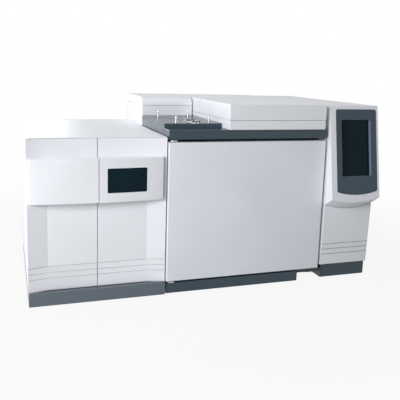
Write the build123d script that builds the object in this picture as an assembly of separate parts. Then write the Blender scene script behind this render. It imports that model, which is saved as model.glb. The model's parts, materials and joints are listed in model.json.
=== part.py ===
from build123d import *
import math
import os

# Gas chromatograph with a mass-selective detector module on its left.
# Millimetres. While the parts are drawn, x = 0 is the joint face between the two units, y = 0 the
# front plane of the detector module and z = 0 the bench. The last lines move everything so that the
# origin is the bottom centre of the whole object. +Z is up and the front faces -Y.

# ---------------------------------------------------------------- driving sizes
module_w = 343.0        # detector module, left unit
module_d = 492.0
module_h = 414.8
unit_gap = 3.0          # air between the two units
oven_w = 451.2          # oven unit, middle
unit_d = 530.0
column_gap = 7.2        # dark slot beside the oven door
column_w = 153.2        # control column, right

plinth_h = 33.5         # skirt under the detector module
oven_plinth_h = 28.0    # skirt under the oven door
column_plinth_h = 41.0
plinth_cut = 64.4       # finger space at the right end of the oven skirt
pan_z = 24.0            # underside of both floor pans
pan_t = 3.0
skin = 2.0              # painted sheet
wall = 3.0              # moulded wall
seam = 1.5              # line between two outer panels

left_panel_w = 168.8    # service door of the detector module
panel_t = 24.0
facet_w = 47.5
recess = 10.0
band_drop = 157.7       # from the top of the module down to the foot of the band
band_h = 109.2
band_proud = 8.0        # at the two ends of the band
band_bow = 9.7          # its middle stands this much further forward
band_inset_l = 4.5
band_inset_r = 9.4
display_w = 100.1
display_h = 61.4
display_in = 53.4       # from the right side of the module
display_up = 22.9       # from the lower edge of the band

door_lift = 5.1         # air between the skirt and the oven door
door_h = 368.5
door_front = -4.9
door_t = 27.0
bar_gap = 7.4           # dark line between the door and the bar
bar_h = 23.8
bar_front = -6.6
deck_w = 160.5
deck_front = 42.4
deck_rise = 12.3        # deck above the bar
block_front = 299.2     # pneumatics housing behind the deck
rear_lid_h = 24.6
cover_front = -10.8
cover_wall_h = 25.4     # fixed wall of the detector bay above the bar
lid_h = 41.3
cover_inset = 8.7       # cover stops short of the right end of the bar

cavity_w = 310.0        # oven chamber
cavity_h = 280.0
cavity_d = 190.0
insulation = 48.0
frame_y = 32.0          # oven face behind the door

housing_tip = -44.0     # screen housing of the control column
house_h = 255.3
housing_top_y = -1.2
lower_top_y = -7.6
lower_h = 178.1         # grooved panel between the skirt and the housing
shelf_rise = 23.0       # slope of the underside of the housing
lower_foot_y = -2.2
chin = 12.0             # rise of the curved lower edge
bezel_in_l = 17.4
bezel_in_r = 6.8
bezel_up = 19.3
bezel_down = 10.0
screen_in_l = 34.1
screen_in_r = 24.6
screen_up = 60.8
screen_down = 38.0
screen_depth = 9.0

pin_r = 3.0             # hinge pins
pin_bore = 0.05         # radial play in a bore
fit = 0.4               # play between parts that slide past each other

# ---------------------------------------------------------------- derived planes
mx0 = -module_w
gx0 = unit_gap
gx1 = gx0 + oven_w
cx0 = gx1 + column_gap
cx1 = cx0 + column_w
split_x = mx0 + left_panel_w
band_z = module_h - band_drop
door_z = oven_plinth_h + door_lift
door_top = door_z + door_h
bar_z = door_top + bar_gap
bar_top = bar_z + bar_h
deck_z = bar_top + deck_rise
cover_seam = bar_top + cover_wall_h
unit_h = cover_seam + lid_h
block_seam = unit_h - rear_lid_h
column_foot = column_plinth_h + 0.6
lower_top_z = column_foot + lower_h
housing_z = lower_top_z + shelf_rise
column_h = housing_z + house_h
door_back = door_front + door_t
frame_back = frame_y + wall
side_top = bar_z - 1.0
rear_in = unit_d - skin
module_rear_in = module_d - skin
floor_z = pan_z + pan_t

parts = {}


def block(x0, x1, y0, y1, z0, z1):
    return Pos((x0 + x1) / 2, (y0 + y1) / 2, (z0 + z1) / 2) * Box(x1 - x0, y1 - y0, z1 - z0)


def post(x, y, z0, z1, r):
    return Pos(x, y, (z0 + z1) / 2) * Cylinder(r, z1 - z0)


def rod_x(x0, x1, y, z, r):
    return Pos((x0 + x1) / 2, y, z) * Rot(0, 90, 0) * Cylinder(r, x1 - x0)


def rod_y(x, y0, y1, z, r):
    return Pos(x, (y0 + y1) / 2, z) * Rot(90, 0, 0) * Cylinder(r, y1 - y0)


def plan(points, z0, z1):
    face = make_face(Polyline(*points, close=True))
    return Pos(0, 0, z0) * extrude(face, z1 - z0)


def profile(points, x0, x1):
    face = Plane.YZ * make_face(Polyline(*points, close=True))
    return Pos(x0, 0, 0) * extrude(face, x1 - x0)


def front(face, y0, y1):
    return extrude(Pos(0, y0, 0) * (Plane.XZ * face), -(y1 - y0))


def turned(points, x, y, z0):
    face = Plane.XZ * make_face(Polyline(*points, close=True))
    return Pos(x, y, z0) * revolve(face, Axis.Z)


def joined(solids):
    total = solids[0]
    for solid in solids[1:]:
        total = total + solid
    return total


def group(solids):
    return Compound(children=[s for piece in solids for s in piece.solids()])


def edges_at(shape, axis, value, tol=0.05):
    low, high = value - tol, value + tol
    return shape.edges().filter_by_position(axis, low, high)


# ---------------------------------------------------------------- detector module: outer panels
panel_z0 = plinth_h + 1.8
top_t = 1.5
panel_z1 = module_h - top_t - 0.6
seam_l = split_x - seam / 2
seam_r = split_x + seam / 2
facet_slope = recess / facet_w
groove_cut = plan(
    [
        (mx0 - 1, -2), (mx0 - 1, 0.7), (mx0 + facet_w, recess + 0.9),
        (-facet_w, recess + 0.9), (1, 0.7), (1, -2),
    ],
    0, 1.4,
)
grooves = [Pos(0, 0, plinth_h + up) * groove_cut for up in (30.8, 45.3, 60.8)]

module_pivot_x = mx0 + 7.0
module_pivot_y = panel_t - 11.0
boss_r = pin_r + 3.2
bracket_t = 2.4
bracket_hw = 4.0
notch_h = bracket_t + 1.0
left_outer = plan(
    [(mx0, 0), (mx0 + facet_w, recess), (seam_l, recess), (seam_l, panel_t), (mx0, panel_t)],
    panel_z0, panel_z1,
)
left_pocket = plan(
    [
        (mx0 + wall, wall), (mx0 + facet_w, recess + wall), (seam_l - wall, recess + wall),
        (seam_l - wall, panel_t + 1), (mx0 + wall, panel_t + 1),
    ],
    panel_z0 + wall, panel_z1 - wall,
)
notches = [
    block(mx0 - 1, module_pivot_x + 8, 5, panel_t + 1, panel_z1 - notch_h, panel_z1 + 1),
    block(mx0 - 1, module_pivot_x + 8, 5, panel_t + 1, panel_z0 - 1, panel_z0 + notch_h),
]
boss_l = 16.0
boss_top = panel_z1 - notch_h
boss_low = panel_z0 + notch_h
bosses = [
    post(module_pivot_x, module_pivot_y, boss_top - boss_l, boss_top, boss_r),
    post(module_pivot_x, module_pivot_y, boss_low, boss_low + boss_l, boss_r),
]
bores = [
    post(module_pivot_x, module_pivot_y, boss_top - boss_l - 1, boss_top + 1, pin_r + pin_bore),
    post(module_pivot_x, module_pivot_y, boss_low - 1, boss_low + boss_l + 1, pin_r + pin_bore),
]
service_door = left_outer - left_pocket
for notch in notches:
    service_door -= notch
for boss in bosses:
    service_door += boss
for bore in bores:
    service_door -= bore
for groove in grooves:
    service_door -= groove
parts["service_door"] = service_door

foam_clear = boss_r + module_pivot_x + 1.0
parts["service_door_foam"] = plan(
    [
        (foam_clear, panel_t - 4.0), (foam_clear, recess + wall + 0.5),
        (seam_l - wall - 0.2, recess + wall), (seam_l - wall - 0.2, panel_t - 0.5),
        (foam_clear, panel_t - 0.5),
    ],
    panel_z0 + wall, panel_z1 - wall,
)

right_outer = plan(
    [(seam_r, recess), (-facet_w, recess), (0, 0), (0, panel_t), (seam_r, panel_t)],
    panel_z0, panel_z1,
)
right_pocket = plan(
    [
        (seam_r + wall, recess + wall), (-facet_w, recess + wall), (-wall, wall),
        (-wall, panel_t + 1), (seam_r + wall, panel_t + 1),
    ],
    panel_z0 + wall, panel_z1 - wall,
)
display_x1 = -display_in
display_x0 = display_x1 - display_w
display_z0 = band_z + display_up
display_z1 = display_z0 + display_h
display_cx = (display_x0 + display_x1) / 2
display_cz = (display_z0 + display_z1) / 2
window = front(
    Pos(display_cx, display_cz) * RectangleRounded(display_w, display_h, 3.0),
    -band_proud - band_bow - 1, panel_t,
)
front_panel = right_outer - right_pocket
for groove in grooves:
    front_panel -= groove
parts["fixed_front_panel"] = front_panel - window


# The front of the band is one shallow arc in plan, so both halves and the glass are cut from a cylinder.
band_x0, band_x1 = mx0 + band_inset_l, -band_inset_r
half_chord = (band_x1 - band_x0) / 2
bow_r = (half_chord ** 2 + band_bow ** 2) / (2 * band_bow)
bow_x = band_x0 + half_chord
bow_y = bow_r - band_proud - band_bow


def bow(inset, z0, z1):
    return post(bow_x, bow_y, z0, z1, bow_r - inset)


def band(x0, x1, end):
    z0, z1 = band_z, band_z + band_h
    y_of = lambda x: min((x - mx0) * facet_slope, recess, -x * facet_slope)
    corners = [x for x in (mx0 + facet_w, -facet_w) if x0 < x < x1]
    back = [(x, y_of(x)) for x in [x0] + corners + [x1]]
    ahead = -band_proud - band_bow - 5
    solid = plan([(x0, ahead)] + back + [(x1, ahead)], z0, z1) & bow(0, z0, z1)
    corner = edges_at(solid.edges().filter_by(Axis.Z), Axis.X, end).sort_by(Axis.Y)[0]
    solid = fillet(corner, 2.4)
    rim = [e for e in edges_at(solid, Axis.Z, z1) if e.center().Y < min(-band_proud / 2, 0)]
    return fillet(rim, 1.4)


parts["service_door_band"] = band(band_x0, seam_l, band_x0)
parts["fixed_front_band"] = band(seam_r, band_x1, band_x1) - window
glass_t = 2.5
glass_in = 0.3
parts["display_glass"] = window & (
    bow(glass_in, display_z0, display_z1) - bow(glass_in + glass_t, display_z0 - 1, display_z1 + 1))
parts["display_unit"] = (block(
    display_x0 + 1, display_x1 - 1, -band_proud - band_bow, recess + wall + 14,
    display_z0 + 1, display_z1 - 1,
) & bow(glass_in + glass_t, display_z0, display_z1)) + block(
    display_x0 - 8, display_x1 + 8, recess + wall + 6, recess + wall + 9,
    display_z0 - 8, display_z1 + 8,
)

side_front = panel_t + 1.6
line_y = 150.0          # axis of the heated transfer line
line_z = 215.0
line_r = 14.0
parts["module_side_left"] = block(
    mx0, mx0 + skin, side_front, module_d, floor_z, module_h - top_t)
parts["module_side_right"] = block(
    -skin, 0, side_front, module_d, floor_z, module_h - top_t
) - rod_x(-skin - 1, 1, line_y, line_z, line_r + 3)
parts["module_top"] = plan(
    [
        (mx0, 0), (mx0 + facet_w, recess), (-facet_w, recess), (0, 0),
        (0, module_d), (mx0, module_d),
    ],
    module_h - top_t, module_h,
)

# ---------------------------------------------------------------- detector module: floor, frame, back
skirt_t = 14.0
plinth_front = -7.5
plinth = joined([
    block(mx0, 0, plinth_front, plinth_front + skirt_t, 0, plinth_h),
    block(mx0, mx0 + skirt_t, plinth_front + 1, module_d - 40, 0, pan_z),
    block(-skirt_t, 0, plinth_front + 1, module_d - 40, 0, pan_z),
])
corner = edges_at(plinth, Axis.X, mx0)
corner = edges_at(corner, Axis.Z, plinth_h) + edges_at(corner, Axis.Y, plinth_front).filter_by(Axis.Z)
parts["module_plinth"] = fillet(corner, 3.5)

pan_front = plinth_front + skirt_t
parts["module_pan"] = block(mx0 + skin, -skin, pan_front, module_rear_in, pan_z, floor_z) \
    + block(mx0 + skin, -skin, module_rear_in - skin, module_rear_in, pan_z, floor_z + 14)
rail = 12.0
frame_x0, frame_x1 = mx0 + skin, -skin
frame_yf = panel_t + 4
frame_z1 = module_h - top_t
posts = []
for x in (frame_x0, frame_x1 - rail):
    for y in (frame_yf, module_rear_in - skin - rail):
        posts.append(block(x, x + rail, y, y + rail, floor_z, frame_z1))
for y in (frame_yf, module_rear_in - skin - rail):
    posts.append(block(frame_x0 + rail, frame_x1 - rail, y, y + rail, frame_z1 - rail, frame_z1))
parts["module_frame"] = joined(posts)

brackets = [
    block(module_pivot_x - bracket_hw, module_pivot_x + bracket_hw, module_pivot_y - 4, frame_yf,
          z, z + bracket_t)
    for z in (panel_z1 - bracket_t, panel_z0)
]
pins = [
    post(module_pivot_x, module_pivot_y, boss_top - boss_l + 1, panel_z1 - bracket_t, pin_r),
    post(module_pivot_x, module_pivot_y, panel_z0 + bracket_t, boss_low + boss_l - 1, pin_r),
]
parts["service_door_pivots"] = (brackets[0] + pins[0]) + (brackets[1] + pins[1])
catch_x = seam_l - 16
catch_z = (band_z - 57.1, band_z + 72.9)
parts["service_door_catches"] = joined([
    block(catch_x - 8, catch_x + 8, panel_t + 0.4, frame_yf + 4, z, z + 30) for z in catch_z
] + [block(catch_x - 10, catch_x + 10, frame_yf + 4, frame_yf + rail, floor_z, frame_z1 - rail)])

fan_r = 42.0
fan_box = 92.0
fan_t = 25.0


def slot_cuts(xc, zc, w, h, pitch, slot, y0, y1):
    n = int(h / pitch)
    z0 = zc - (n - 1) * pitch / 2
    return [
        front(Pos(xc, z0 + i * pitch) * RectangleRounded(w, slot, slot * 0.45), y0, y1)
        for i in range(n)
    ]


def axial_fan(xc, zc, y1):
    y0 = y1 - fan_t
    frame = block(xc - fan_box / 2, xc + fan_box / 2, y0, y1, zc - fan_box / 2, zc + fan_box / 2)
    frame -= rod_y(xc, y0 - 1, y1 + 1, zc, fan_r)
    hub = rod_y(xc, y0, y1 - 1.5, zc, 12.0)
    arms = [
        Pos(xc, y0 + 1.5, zc) * Rot(0, a, 0) * Pos(0, 0, fan_r / 2 + 2) * Box(5, 3, fan_r - 4)
        for a in (45, 135, 225, 315)
    ]
    holder = rod_y(xc, y0, y0 + 3, zc, 14.0)
    axle = rod_y(xc, y0 + 3, y0 + 9, zc, pin_r)
    rotor = rod_y(xc, y0 + 4, y1 - 2, zc, 16.0) - rod_y(xc, y0 + 3, y0 + 10, zc, pin_r + pin_bore)
    for i in range(7):
        blade = Pos(xc, (y0 + y1) / 2 + 1, zc) * Rot(0, i * 360 / 7, 0) \
            * Pos(0, 0, 26.5) * Rot(0, 0, 38) * Box(17, 1.6, 25)
        rotor += blade
    return joined([frame, holder] + arms + [axle]), rotor


module_fan_x = -100.0
module_fan_z = module_h - 84.8
louvre_x = mx0 + 93.0
housing, rotor = axial_fan(module_fan_x, module_fan_z, module_rear_in)
parts["module_fan_housing"] = housing
parts["module_fan_rotor"] = rotor
pump_port = (mx0 + 73.0, 96.0)
back = block(mx0 + skin, -skin, module_rear_in, module_d, pan_z, frame_z1)
for cut in slot_cuts(module_fan_x, module_fan_z, 78, 78, 9.0, 5.0, module_rear_in - 1, module_d + 1):
    back -= cut
for cut in slot_cuts(louvre_x, module_fan_z, 90, 60, 10.0, 4.0, module_rear_in - 1, module_d + 1):
    back -= cut
back -= rod_y(pump_port[0], module_rear_in - 1, module_d + 1, pump_port[1], 10.4)
parts["module_back"] = back

# ---------------------------------------------------------------- detector module: analyser
man_x0, man_x1 = mx0 + 62.0, -40.0
man_y0, man_y1 = line_y - 55, line_y + 55
man_z0, man_z1 = line_z - 55, line_z + 45
man_w = 10.0
lid_t = 12.0
rod_len = 118.0
source_r = 22.0
manifold = block(man_x0, man_x1, man_y0, man_y1, man_z0, man_z1) - block(
    man_x0 + man_w, man_x1 - man_w, man_y0 + man_w, man_y1 - man_w, man_z0 + man_w, man_z1 + 1)
turbo_x = man_x0 + 75
turbo_r = 48.0
manifold -= post(turbo_x, line_y, man_z0 - 1, man_z0 + man_w + 1, turbo_r - 16)
manifold -= rod_x(man_x1 - man_w - 1, man_x1 + 1, line_y, line_z, line_r - 4 + 0.3)
parts["vacuum_manifold"] = manifold
parts["manifold_lid"] = joined(
    [block(man_x0 - 6, man_x1 + 6, man_y0 - 6, man_y1 + 6, man_z1, man_z1 + lid_t)]
    + [post(x, y, man_z1 + lid_t, man_z1 + lid_t + 14, 7.0)
       for x in (man_x0 + 12, man_x1 - 12) for y in (man_y0 + 8, man_y1 - 8)]
)
stand_x = (man_x0 + 4, man_x1 - 16)
parts["manifold_stand"] = joined(
    [block(x, x + 12, man_y0 + 6, man_y1 - 6, floor_z, man_z0) for x in stand_x]
)
source_x1 = man_x1 - man_w - 12
source_x0 = source_x1 - 26
rods_x1 = source_x0 - 10
rods_x0 = rods_x1 - rod_len
parts["ion_source"] = joined([
    rod_x(source_x0, source_x1, line_y, line_z, source_r),
    block(source_x0 + 4, source_x1 - 4, line_y - 6, line_y + 6, man_z0 + man_w, line_z),
])
rod_ring = 13.0
rods = [
    rod_x(rods_x0, rods_x1, line_y + rod_ring * math.cos(a), line_z + rod_ring * math.sin(a), 6.0)
    for a in (math.radians(45 + 90 * i) for i in range(4))
]
parts["quadrupole_rods"] = group(rods)
collars = []
for x in (rods_x0 + 8, rods_x1 - 20):
    ring = rod_x(x, x + 12, line_y, line_z, 26.0)
    for rod in rods:
        ring -= rod
    ring += block(x, x + 12, line_y - 14, line_y + 14, man_z0 + man_w, line_z - 22)
    collars.append(ring)
parts["quadrupole_collars"] = group(collars)
parts["ion_detector"] = joined([
    block(man_x0 + man_w + 4, man_x0 + man_w + 34, line_y - 18, line_y + 18, line_z - 18, line_z + 18),
    block(man_x0 + man_w + 10, man_x0 + man_w + 28, line_y - 8, line_y + 8, man_z0 + man_w, line_z - 18),
])
turbo_z0 = floor_z + 16
turbo_body = turned(
    [
        (0, 0), (turbo_r, 0), (turbo_r, man_z0 - turbo_z0 - 12), (turbo_r + 9, man_z0 - turbo_z0 - 12),
        (turbo_r + 9, man_z0 - turbo_z0), (turbo_r - 5, man_z0 - turbo_z0), (turbo_r - 5, 24), (0, 24),
    ],
    turbo_x, line_y, turbo_z0,
) + post(turbo_x, line_y, turbo_z0 + 24, turbo_z0 + 36, 4.0)
turbo_body += joined([
    block(turbo_x - 30, turbo_x + 30, line_y - 20, line_y + 20, floor_z, turbo_z0)])
turbo_body += rod_y(turbo_x, line_y + 30, line_y + turbo_r + 22, turbo_z0 + 12, 10.0)
parts["turbo_pump"] = turbo_body
rotor_z0 = turbo_z0 + 28
rotor_z1 = man_z0 - 6
turbo_rotor = post(turbo_x, line_y, rotor_z0, rotor_z1, 15.0)
stages = 5
for i in range(stages):
    z = rotor_z0 + 4 + i * (rotor_z1 - rotor_z0 - 10) / (stages - 1)
    turbo_rotor += post(turbo_x, line_y, z, z + 3, turbo_r - 9)
turbo_rotor -= post(turbo_x, line_y, rotor_z0 - 1, turbo_z0 + 36 + 1, 4.0 + pin_bore)
parts["turbo_rotor"] = turbo_rotor
box_y0, box_y1 = man_y1 + 95, module_rear_in - 20
psu_x0 = mx0 + 24
psu_x1 = psu_x0 + 140
parts["module_power_supply"] = block(psu_x0, psu_x1, box_y0, box_y1, floor_z, floor_z + 46) + block(
    psu_x0 + 12, psu_x1 - 12, box_y0 + 12, box_y1 - 12, floor_z + 46, floor_z + 52)
rf_x0, rf_x1 = psu_x1 + 22, -22.0
rf_z1 = floor_z + 130
fins = [
    block(rf_x0 + 6 + i * 14, rf_x0 + 9 + i * 14, box_y0 + 6, box_y1 - 6, rf_z1, rf_z1 + 14)
    for i in range(int((rf_x1 - rf_x0 - 12) / 14))
]
parts["rf_generator"] = joined([block(rf_x0, rf_x1, box_y0, box_y1, floor_z, rf_z1)] + fins)
board_x = mx0 + 20
parts["module_board"] = joined([
    block(board_x, board_x + 2, man_y1 + 20, module_rear_in - 30, floor_z + 70, frame_z1 - 60),
    block(mx0 + skin, board_x, man_y1 + 30, man_y1 + 36, floor_z + 80, frame_z1 - 70),
    block(mx0 + skin, board_x, module_rear_in - 46, module_rear_in - 40, floor_z + 80,
          frame_z1 - 70),
] + [
    block(board_x + 2, board_x + 12, man_y1 + 40 + i * 45, man_y1 + 66 + i * 45,
          floor_z + 110 + 50 * (i % 2), floor_z + 145 + 50 * (i % 2)) for i in range(4)
])
port_y = turbo_r + 22 + line_y
pump_hose = joined([
    rod_y(turbo_x, port_y, port_y + 24, turbo_z0 + 12, 10.0),
    Pos(turbo_x, port_y + 24, turbo_z0 + 12) * Sphere(10.0),
    rod_x(pump_port[0], turbo_x, port_y + 24, turbo_z0 + 12, 10.0),
    Pos(pump_port[0], port_y + 24, turbo_z0 + 12) * Sphere(10.0),
    post(pump_port[0], port_y + 24, turbo_z0 + 12, pump_port[1], 10.0),
    Pos(pump_port[0], port_y + 24, pump_port[1]) * Sphere(10.0),
    rod_y(pump_port[0], port_y + 24, module_d + 8, pump_port[1], 10.0),
    rod_y(pump_port[0], module_d + 8, module_d + 12, pump_port[1], 15.0),
]) - rod_y(pump_port[0], module_d - 10, module_d + 13, pump_port[1], 7.5)
parts["foreline"] = pump_hose

# ---------------------------------------------------------------- oven unit: floor, walls, top
cav_cx = (gx0 + gx1) / 2 - 9.5
cav_x0 = cav_cx - cavity_w / 2
cav_x1 = cav_cx + cavity_w / 2
cav_z0 = door_z + (door_h - cavity_h) / 2
cav_z1 = cav_z0 + cavity_h
cav_y1 = frame_back + cavity_d
liner_t = 1.5
jack_x0, jack_x1 = cav_x0 - insulation, cav_x1 + insulation
jack_z0 = floor_z + 3
jack_z1 = side_top - 5
jack_y1 = cav_y1 + insulation
fan_cx, fan_cz = cav_cx, (cav_z0 + cav_z1) / 2
cut_x = gx1 - plinth_cut

skirt_front = -1.8
skirt_in = 46.0         # the side skirts stop short of the rear
oven_plinth = joined([
    block(gx0, cut_x, skirt_front, skirt_front + skirt_t, 0, oven_plinth_h),
    block(gx0, gx0 + skirt_t, skirt_front + skirt_t, unit_d - skirt_in, 0, pan_z),
    block(cut_x - skirt_t, cut_x, skirt_front + skirt_t, 90, 0, pan_z),
])
corner = edges_at(edges_at(oven_plinth, Axis.X, cut_x), Axis.Z, 0)
parts["oven_plinth"] = fillet(corner, 4.0)
col_skirt_front = 6.3
col_skirt_in = 7.4
parts["column_plinth"] = joined([
    block(cx0 + col_skirt_in, cx1, col_skirt_front, col_skirt_front + skirt_t, 0, column_plinth_h),
    block(cx0 + col_skirt_in, cx0 + col_skirt_in + skirt_t, col_skirt_front + skirt_t,
          unit_d - skirt_in, 0, pan_z),
    block(cx1 - skirt_t, cx1, col_skirt_front + skirt_t, unit_d - skirt_in, 0, pan_z),
])
unit_pan_y = col_skirt_front + skirt_t
parts["unit_pan"] = joined([
    block(gx0 + skin, cx1 - skin, unit_pan_y, rear_in, pan_z, floor_z),
    block(gx0 + skin, gx1 - skin, rear_in - skin, rear_in, floor_z, floor_z + 10),
    block(cx0 + skin, cx1 - skin, rear_in - skin, rear_in, floor_z, floor_z + 10),
    block(gx0 + skirt_t + 1, gx1 - skin, skirt_front + skirt_t, unit_pan_y, pan_z, floor_z),
])
foot_r = 13.0
foot_in = 80.0
foot_spots = [(x, y) for x in (mx0 + 40, -40) for y in (foot_in, module_d - foot_in)] + [
    (x, y) for x in (gx0 + 44, cut_x - 44, cx1 - 46) for y in (foot_in, unit_d - foot_in)]
parts["feet"] = group([post(x, y, 0, pan_z, foot_r) for x, y in foot_spots])

line_hole = rod_x(gx0 - 1, cav_x0 + 1, line_y, line_z, line_r + 0.4)
parts["oven_side_left"] = block(
    gx0, gx0 + skin, frame_y, rear_in, floor_z, side_top) - rod_x(
    gx0 - 1, gx0 + skin + 1, line_y, line_z, line_r + 3)
parts["oven_side_right"] = block(gx1 - skin, gx1, frame_y, rear_in, floor_z, side_top)
mouth_in = 2.0
parts["oven_face"] = block(
    gx0 + skin, gx1 - skin, frame_y, frame_back, floor_z, side_top) - block(
    cav_x0 - mouth_in, cav_x1 + mouth_in, frame_y - 1, frame_back + 1,
    cav_z0 - mouth_in, cav_z1 + mouth_in)
jacket = block(jack_x0, jack_x1, frame_back, jack_y1, jack_z0, jack_z1) - block(
    jack_x0 + liner_t, jack_x1 - liner_t, frame_back - 1, jack_y1 - liner_t,
    jack_z0 + liner_t, jack_z1 - liner_t)
wool = block(jack_x0 + liner_t, jack_x1 - liner_t, frame_back, jack_y1 - liner_t,
             jack_z0 + liner_t, jack_z1 - liner_t) - block(
    cav_x0 - liner_t, cav_x1 + liner_t, frame_back - 1, cav_y1 + liner_t,
    cav_z0 - liner_t, cav_z1 + liner_t)
liner = block(cav_x0 - liner_t, cav_x1 + liner_t, frame_back, cav_y1 + liner_t,
              cav_z0 - liner_t, cav_z1 + liner_t) - block(
    cav_x0, cav_x1, frame_back - 1, cav_y1, cav_z0, cav_z1)

# Holes through the oven box: transfer line, fan shaft, two rear air ducts, inlets and detector.
duct_x0, duct_x1 = jack_x0 + 56, fan_cx - 56
duct_hh = 38.0
duct_z = (fan_cz - 64, fan_cz + 64)
duct_t = 1.5
shaft_r = 5.0
inlet_x = gx0 + 93.0
inlet_ys = (deck_front + 21, deck_front + 73)
det_x = cav_cx + 40.0
det_ys = (frame_back + 45, frame_back + 115)
tube_r = 8.0
ports = [(inlet_x, y) for y in inlet_ys] + [(det_x, y) for y in det_ys]
through = [line_hole, rod_y(fan_cx, cav_y1 - 5, jack_y1 + 5, fan_cz, shaft_r + 2)]
through += [
    block(duct_x0, duct_x1, cav_y1 - 5, jack_y1 + 5, z - duct_hh, z + duct_hh) for z in duct_z]
through += [post(x, y, cav_z1 - 5, jack_z1 + 5, tube_r + 0.3) for x, y in ports]
for hole in through:
    jacket -= hole
    wool -= hole
    liner -= hole
parts["oven_jacket"] = jacket
parts["oven_insulation"] = wool
parts["oven_liner"] = liner

top_z0 = jack_z1
deck_plate = block(gx0 + skin, gx1 - skin, frame_back, rear_in, top_z0, side_top)
for x, y in ports:
    deck_plate -= post(x, y, top_z0 - 1, side_top + 1, tube_r + 0.3)
parts["oven_top_plate"] = deck_plate
parts["oven_floor_rails"] = group([
    block(x, x + 24, frame_back, jack_y1, floor_z, jack_z0) for x in (jack_x0 + 30, jack_x1 - 54)])

# ---------------------------------------------------------------- oven: heater, fan, column
shroud_y = cav_y1 - 42
shroud_half = cavity_h / 2 - 24
shroud_r = 112.0
shroud = front(
    Pos(fan_cx, fan_cz) * RectangleRounded(2 * shroud_half, 2 * shroud_half, 30), shroud_y, shroud_y + 1.5
) - rod_y(fan_cx, shroud_y - 1, shroud_y + 2.5, fan_cz, 52.0)
for sx in (-1, 1):
    for sz in (-1, 1):
        shroud += rod_y(fan_cx + sx * (shroud_half - 22), shroud_y + 1.5, cav_y1,
                        fan_cz + sz * (shroud_half - 22), 4.0)
for i in range(5):
    chord = (i - 2) * 17.0
    span = 2 * math.sqrt(52.0 ** 2 - chord ** 2) + 2
    shroud += Pos(fan_cx, shroud_y + 0.75, fan_cz + chord) * Box(span, 1.5, 2.4)
shroud += Pos(fan_cx, shroud_y + 0.75, fan_cz) * Box(2.4, 1.5, 106)
parts["fan_shroud"] = shroud
ring_rs = (92.0, 99.0, 106.0)
heater = [
    Pos(fan_cx, cav_y1 - 20, fan_cz) * Rot(90, 0, 0) * Torus(r, 2.2) for r in ring_rs]
spokes = [
    Pos(fan_cx, cav_y1 - 20, fan_cz) * Rot(0, a, 0) * Pos(99, 0, 0) * Box(22, 7, 7)
    for a in (0, 90, 180, 270)
]
pegs = [
    Pos(fan_cx, cav_y1 - 8.3, fan_cz) * Rot(0, a, 0) * Pos(99, 0, 0) * Box(6, 16.6, 6)
    for a in (0, 90, 180, 270)
]
parts["oven_heater"] = joined(heater + spokes + pegs)
impeller = rod_y(fan_cx, cav_y1 - 34, cav_y1 - 6, fan_cz, 14.0)
impeller += rod_y(fan_cx, cav_y1 - 8.5, cav_y1 - 6, fan_cz, 78.0)
for i in range(10):
    impeller += Pos(fan_cx, cav_y1 - 20, fan_cz) * Rot(0, i * 36, 0) * Pos(0, 0, 46) * Box(2, 25, 60)
motor_y0 = jack_y1 + 14
impeller += rod_y(fan_cx, cav_y1 - 6, motor_y0 + 8, fan_cz, shaft_r)
parts["oven_fan"] = impeller
motor = rod_y(fan_cx, motor_y0, motor_y0 + 70, fan_cz, 42.0) \
    + rod_y(fan_cx, motor_y0 + 70, motor_y0 + 78, fan_cz, 30.0)
motor -= rod_y(fan_cx, motor_y0 - 1, motor_y0 + 10, fan_cz, shaft_r + pin_bore)
for a in (45, 135, 225, 315):
    motor += Pos(fan_cx, motor_y0 - 7, fan_cz) * Rot(0, a, 0) * Pos(0, 0, 36) * Rot(90, 0, 0) \
        * Cylinder(3.5, 14)
parts["oven_fan_motor"] = motor

coil_y = frame_back + 72
coil_r = 84.0
cage_r = 96.0
cage = []
for y in (coil_y - 22, coil_y + 22):
    ring = rod_y(fan_cx, y - 1.5, y + 1.5, fan_cz, cage_r) - rod_y(
        fan_cx, y - 2.5, y + 2.5, fan_cz, cage_r - 5)
    cage.append(ring)
cage += [
    Pos(fan_cx, coil_y, fan_cz) * Rot(0, a, 0) * Pos(0, 0, cage_r - 3.5) * Box(6, 47, 3)
    for a in (0, 90, 180, 270)
]
cage += [
    Pos(fan_cx, coil_y + 22, fan_cz) * Rot(0, a, 0) * Box(5, 3, 2 * cage_r - 6) for a in (0, 90)]
cage += [
    block(x - 3, x + 3, coil_y + 20.5, coil_y + 23.5, fan_cz + cage_r - 16, cav_z1)
    for x in (fan_cx - 37, fan_cx + 37)
]
parts["column_cage"] = joined(cage)
turns = 7
coil_section = [(coil_r + 2.0, -turns * 2.5)]
for i in range(turns):
    y = -turns * 2.5 + i * 5
    coil_section += [(coil_r + 7.0, y + 1.0), (coil_r + 7.0, y + 4.0), (coil_r + 5.0, y + 5.0)]
coil_section += [(coil_r + 2.0, turns * 2.5)]
coil = revolve(Plane.XZ * make_face(Polyline(*coil_section, close=True)), Axis.Z)
parts["capillary_column"] = Pos(fan_cx, coil_y, fan_cz) * Rot(90, 0, 0) * coil

line_x1 = cav_x0 + 26
line_x0 = man_x1 - man_w + 2
transfer = joined([
    rod_x(man_x1, line_x1 - 12, line_y, line_z, line_r),
    rod_x(line_x0, man_x1, line_y, line_z, line_r - 4),
    rod_x(line_x1 - 12, line_x1, line_y, line_z, 5.0),
])
parts["transfer_line"] = transfer

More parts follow.
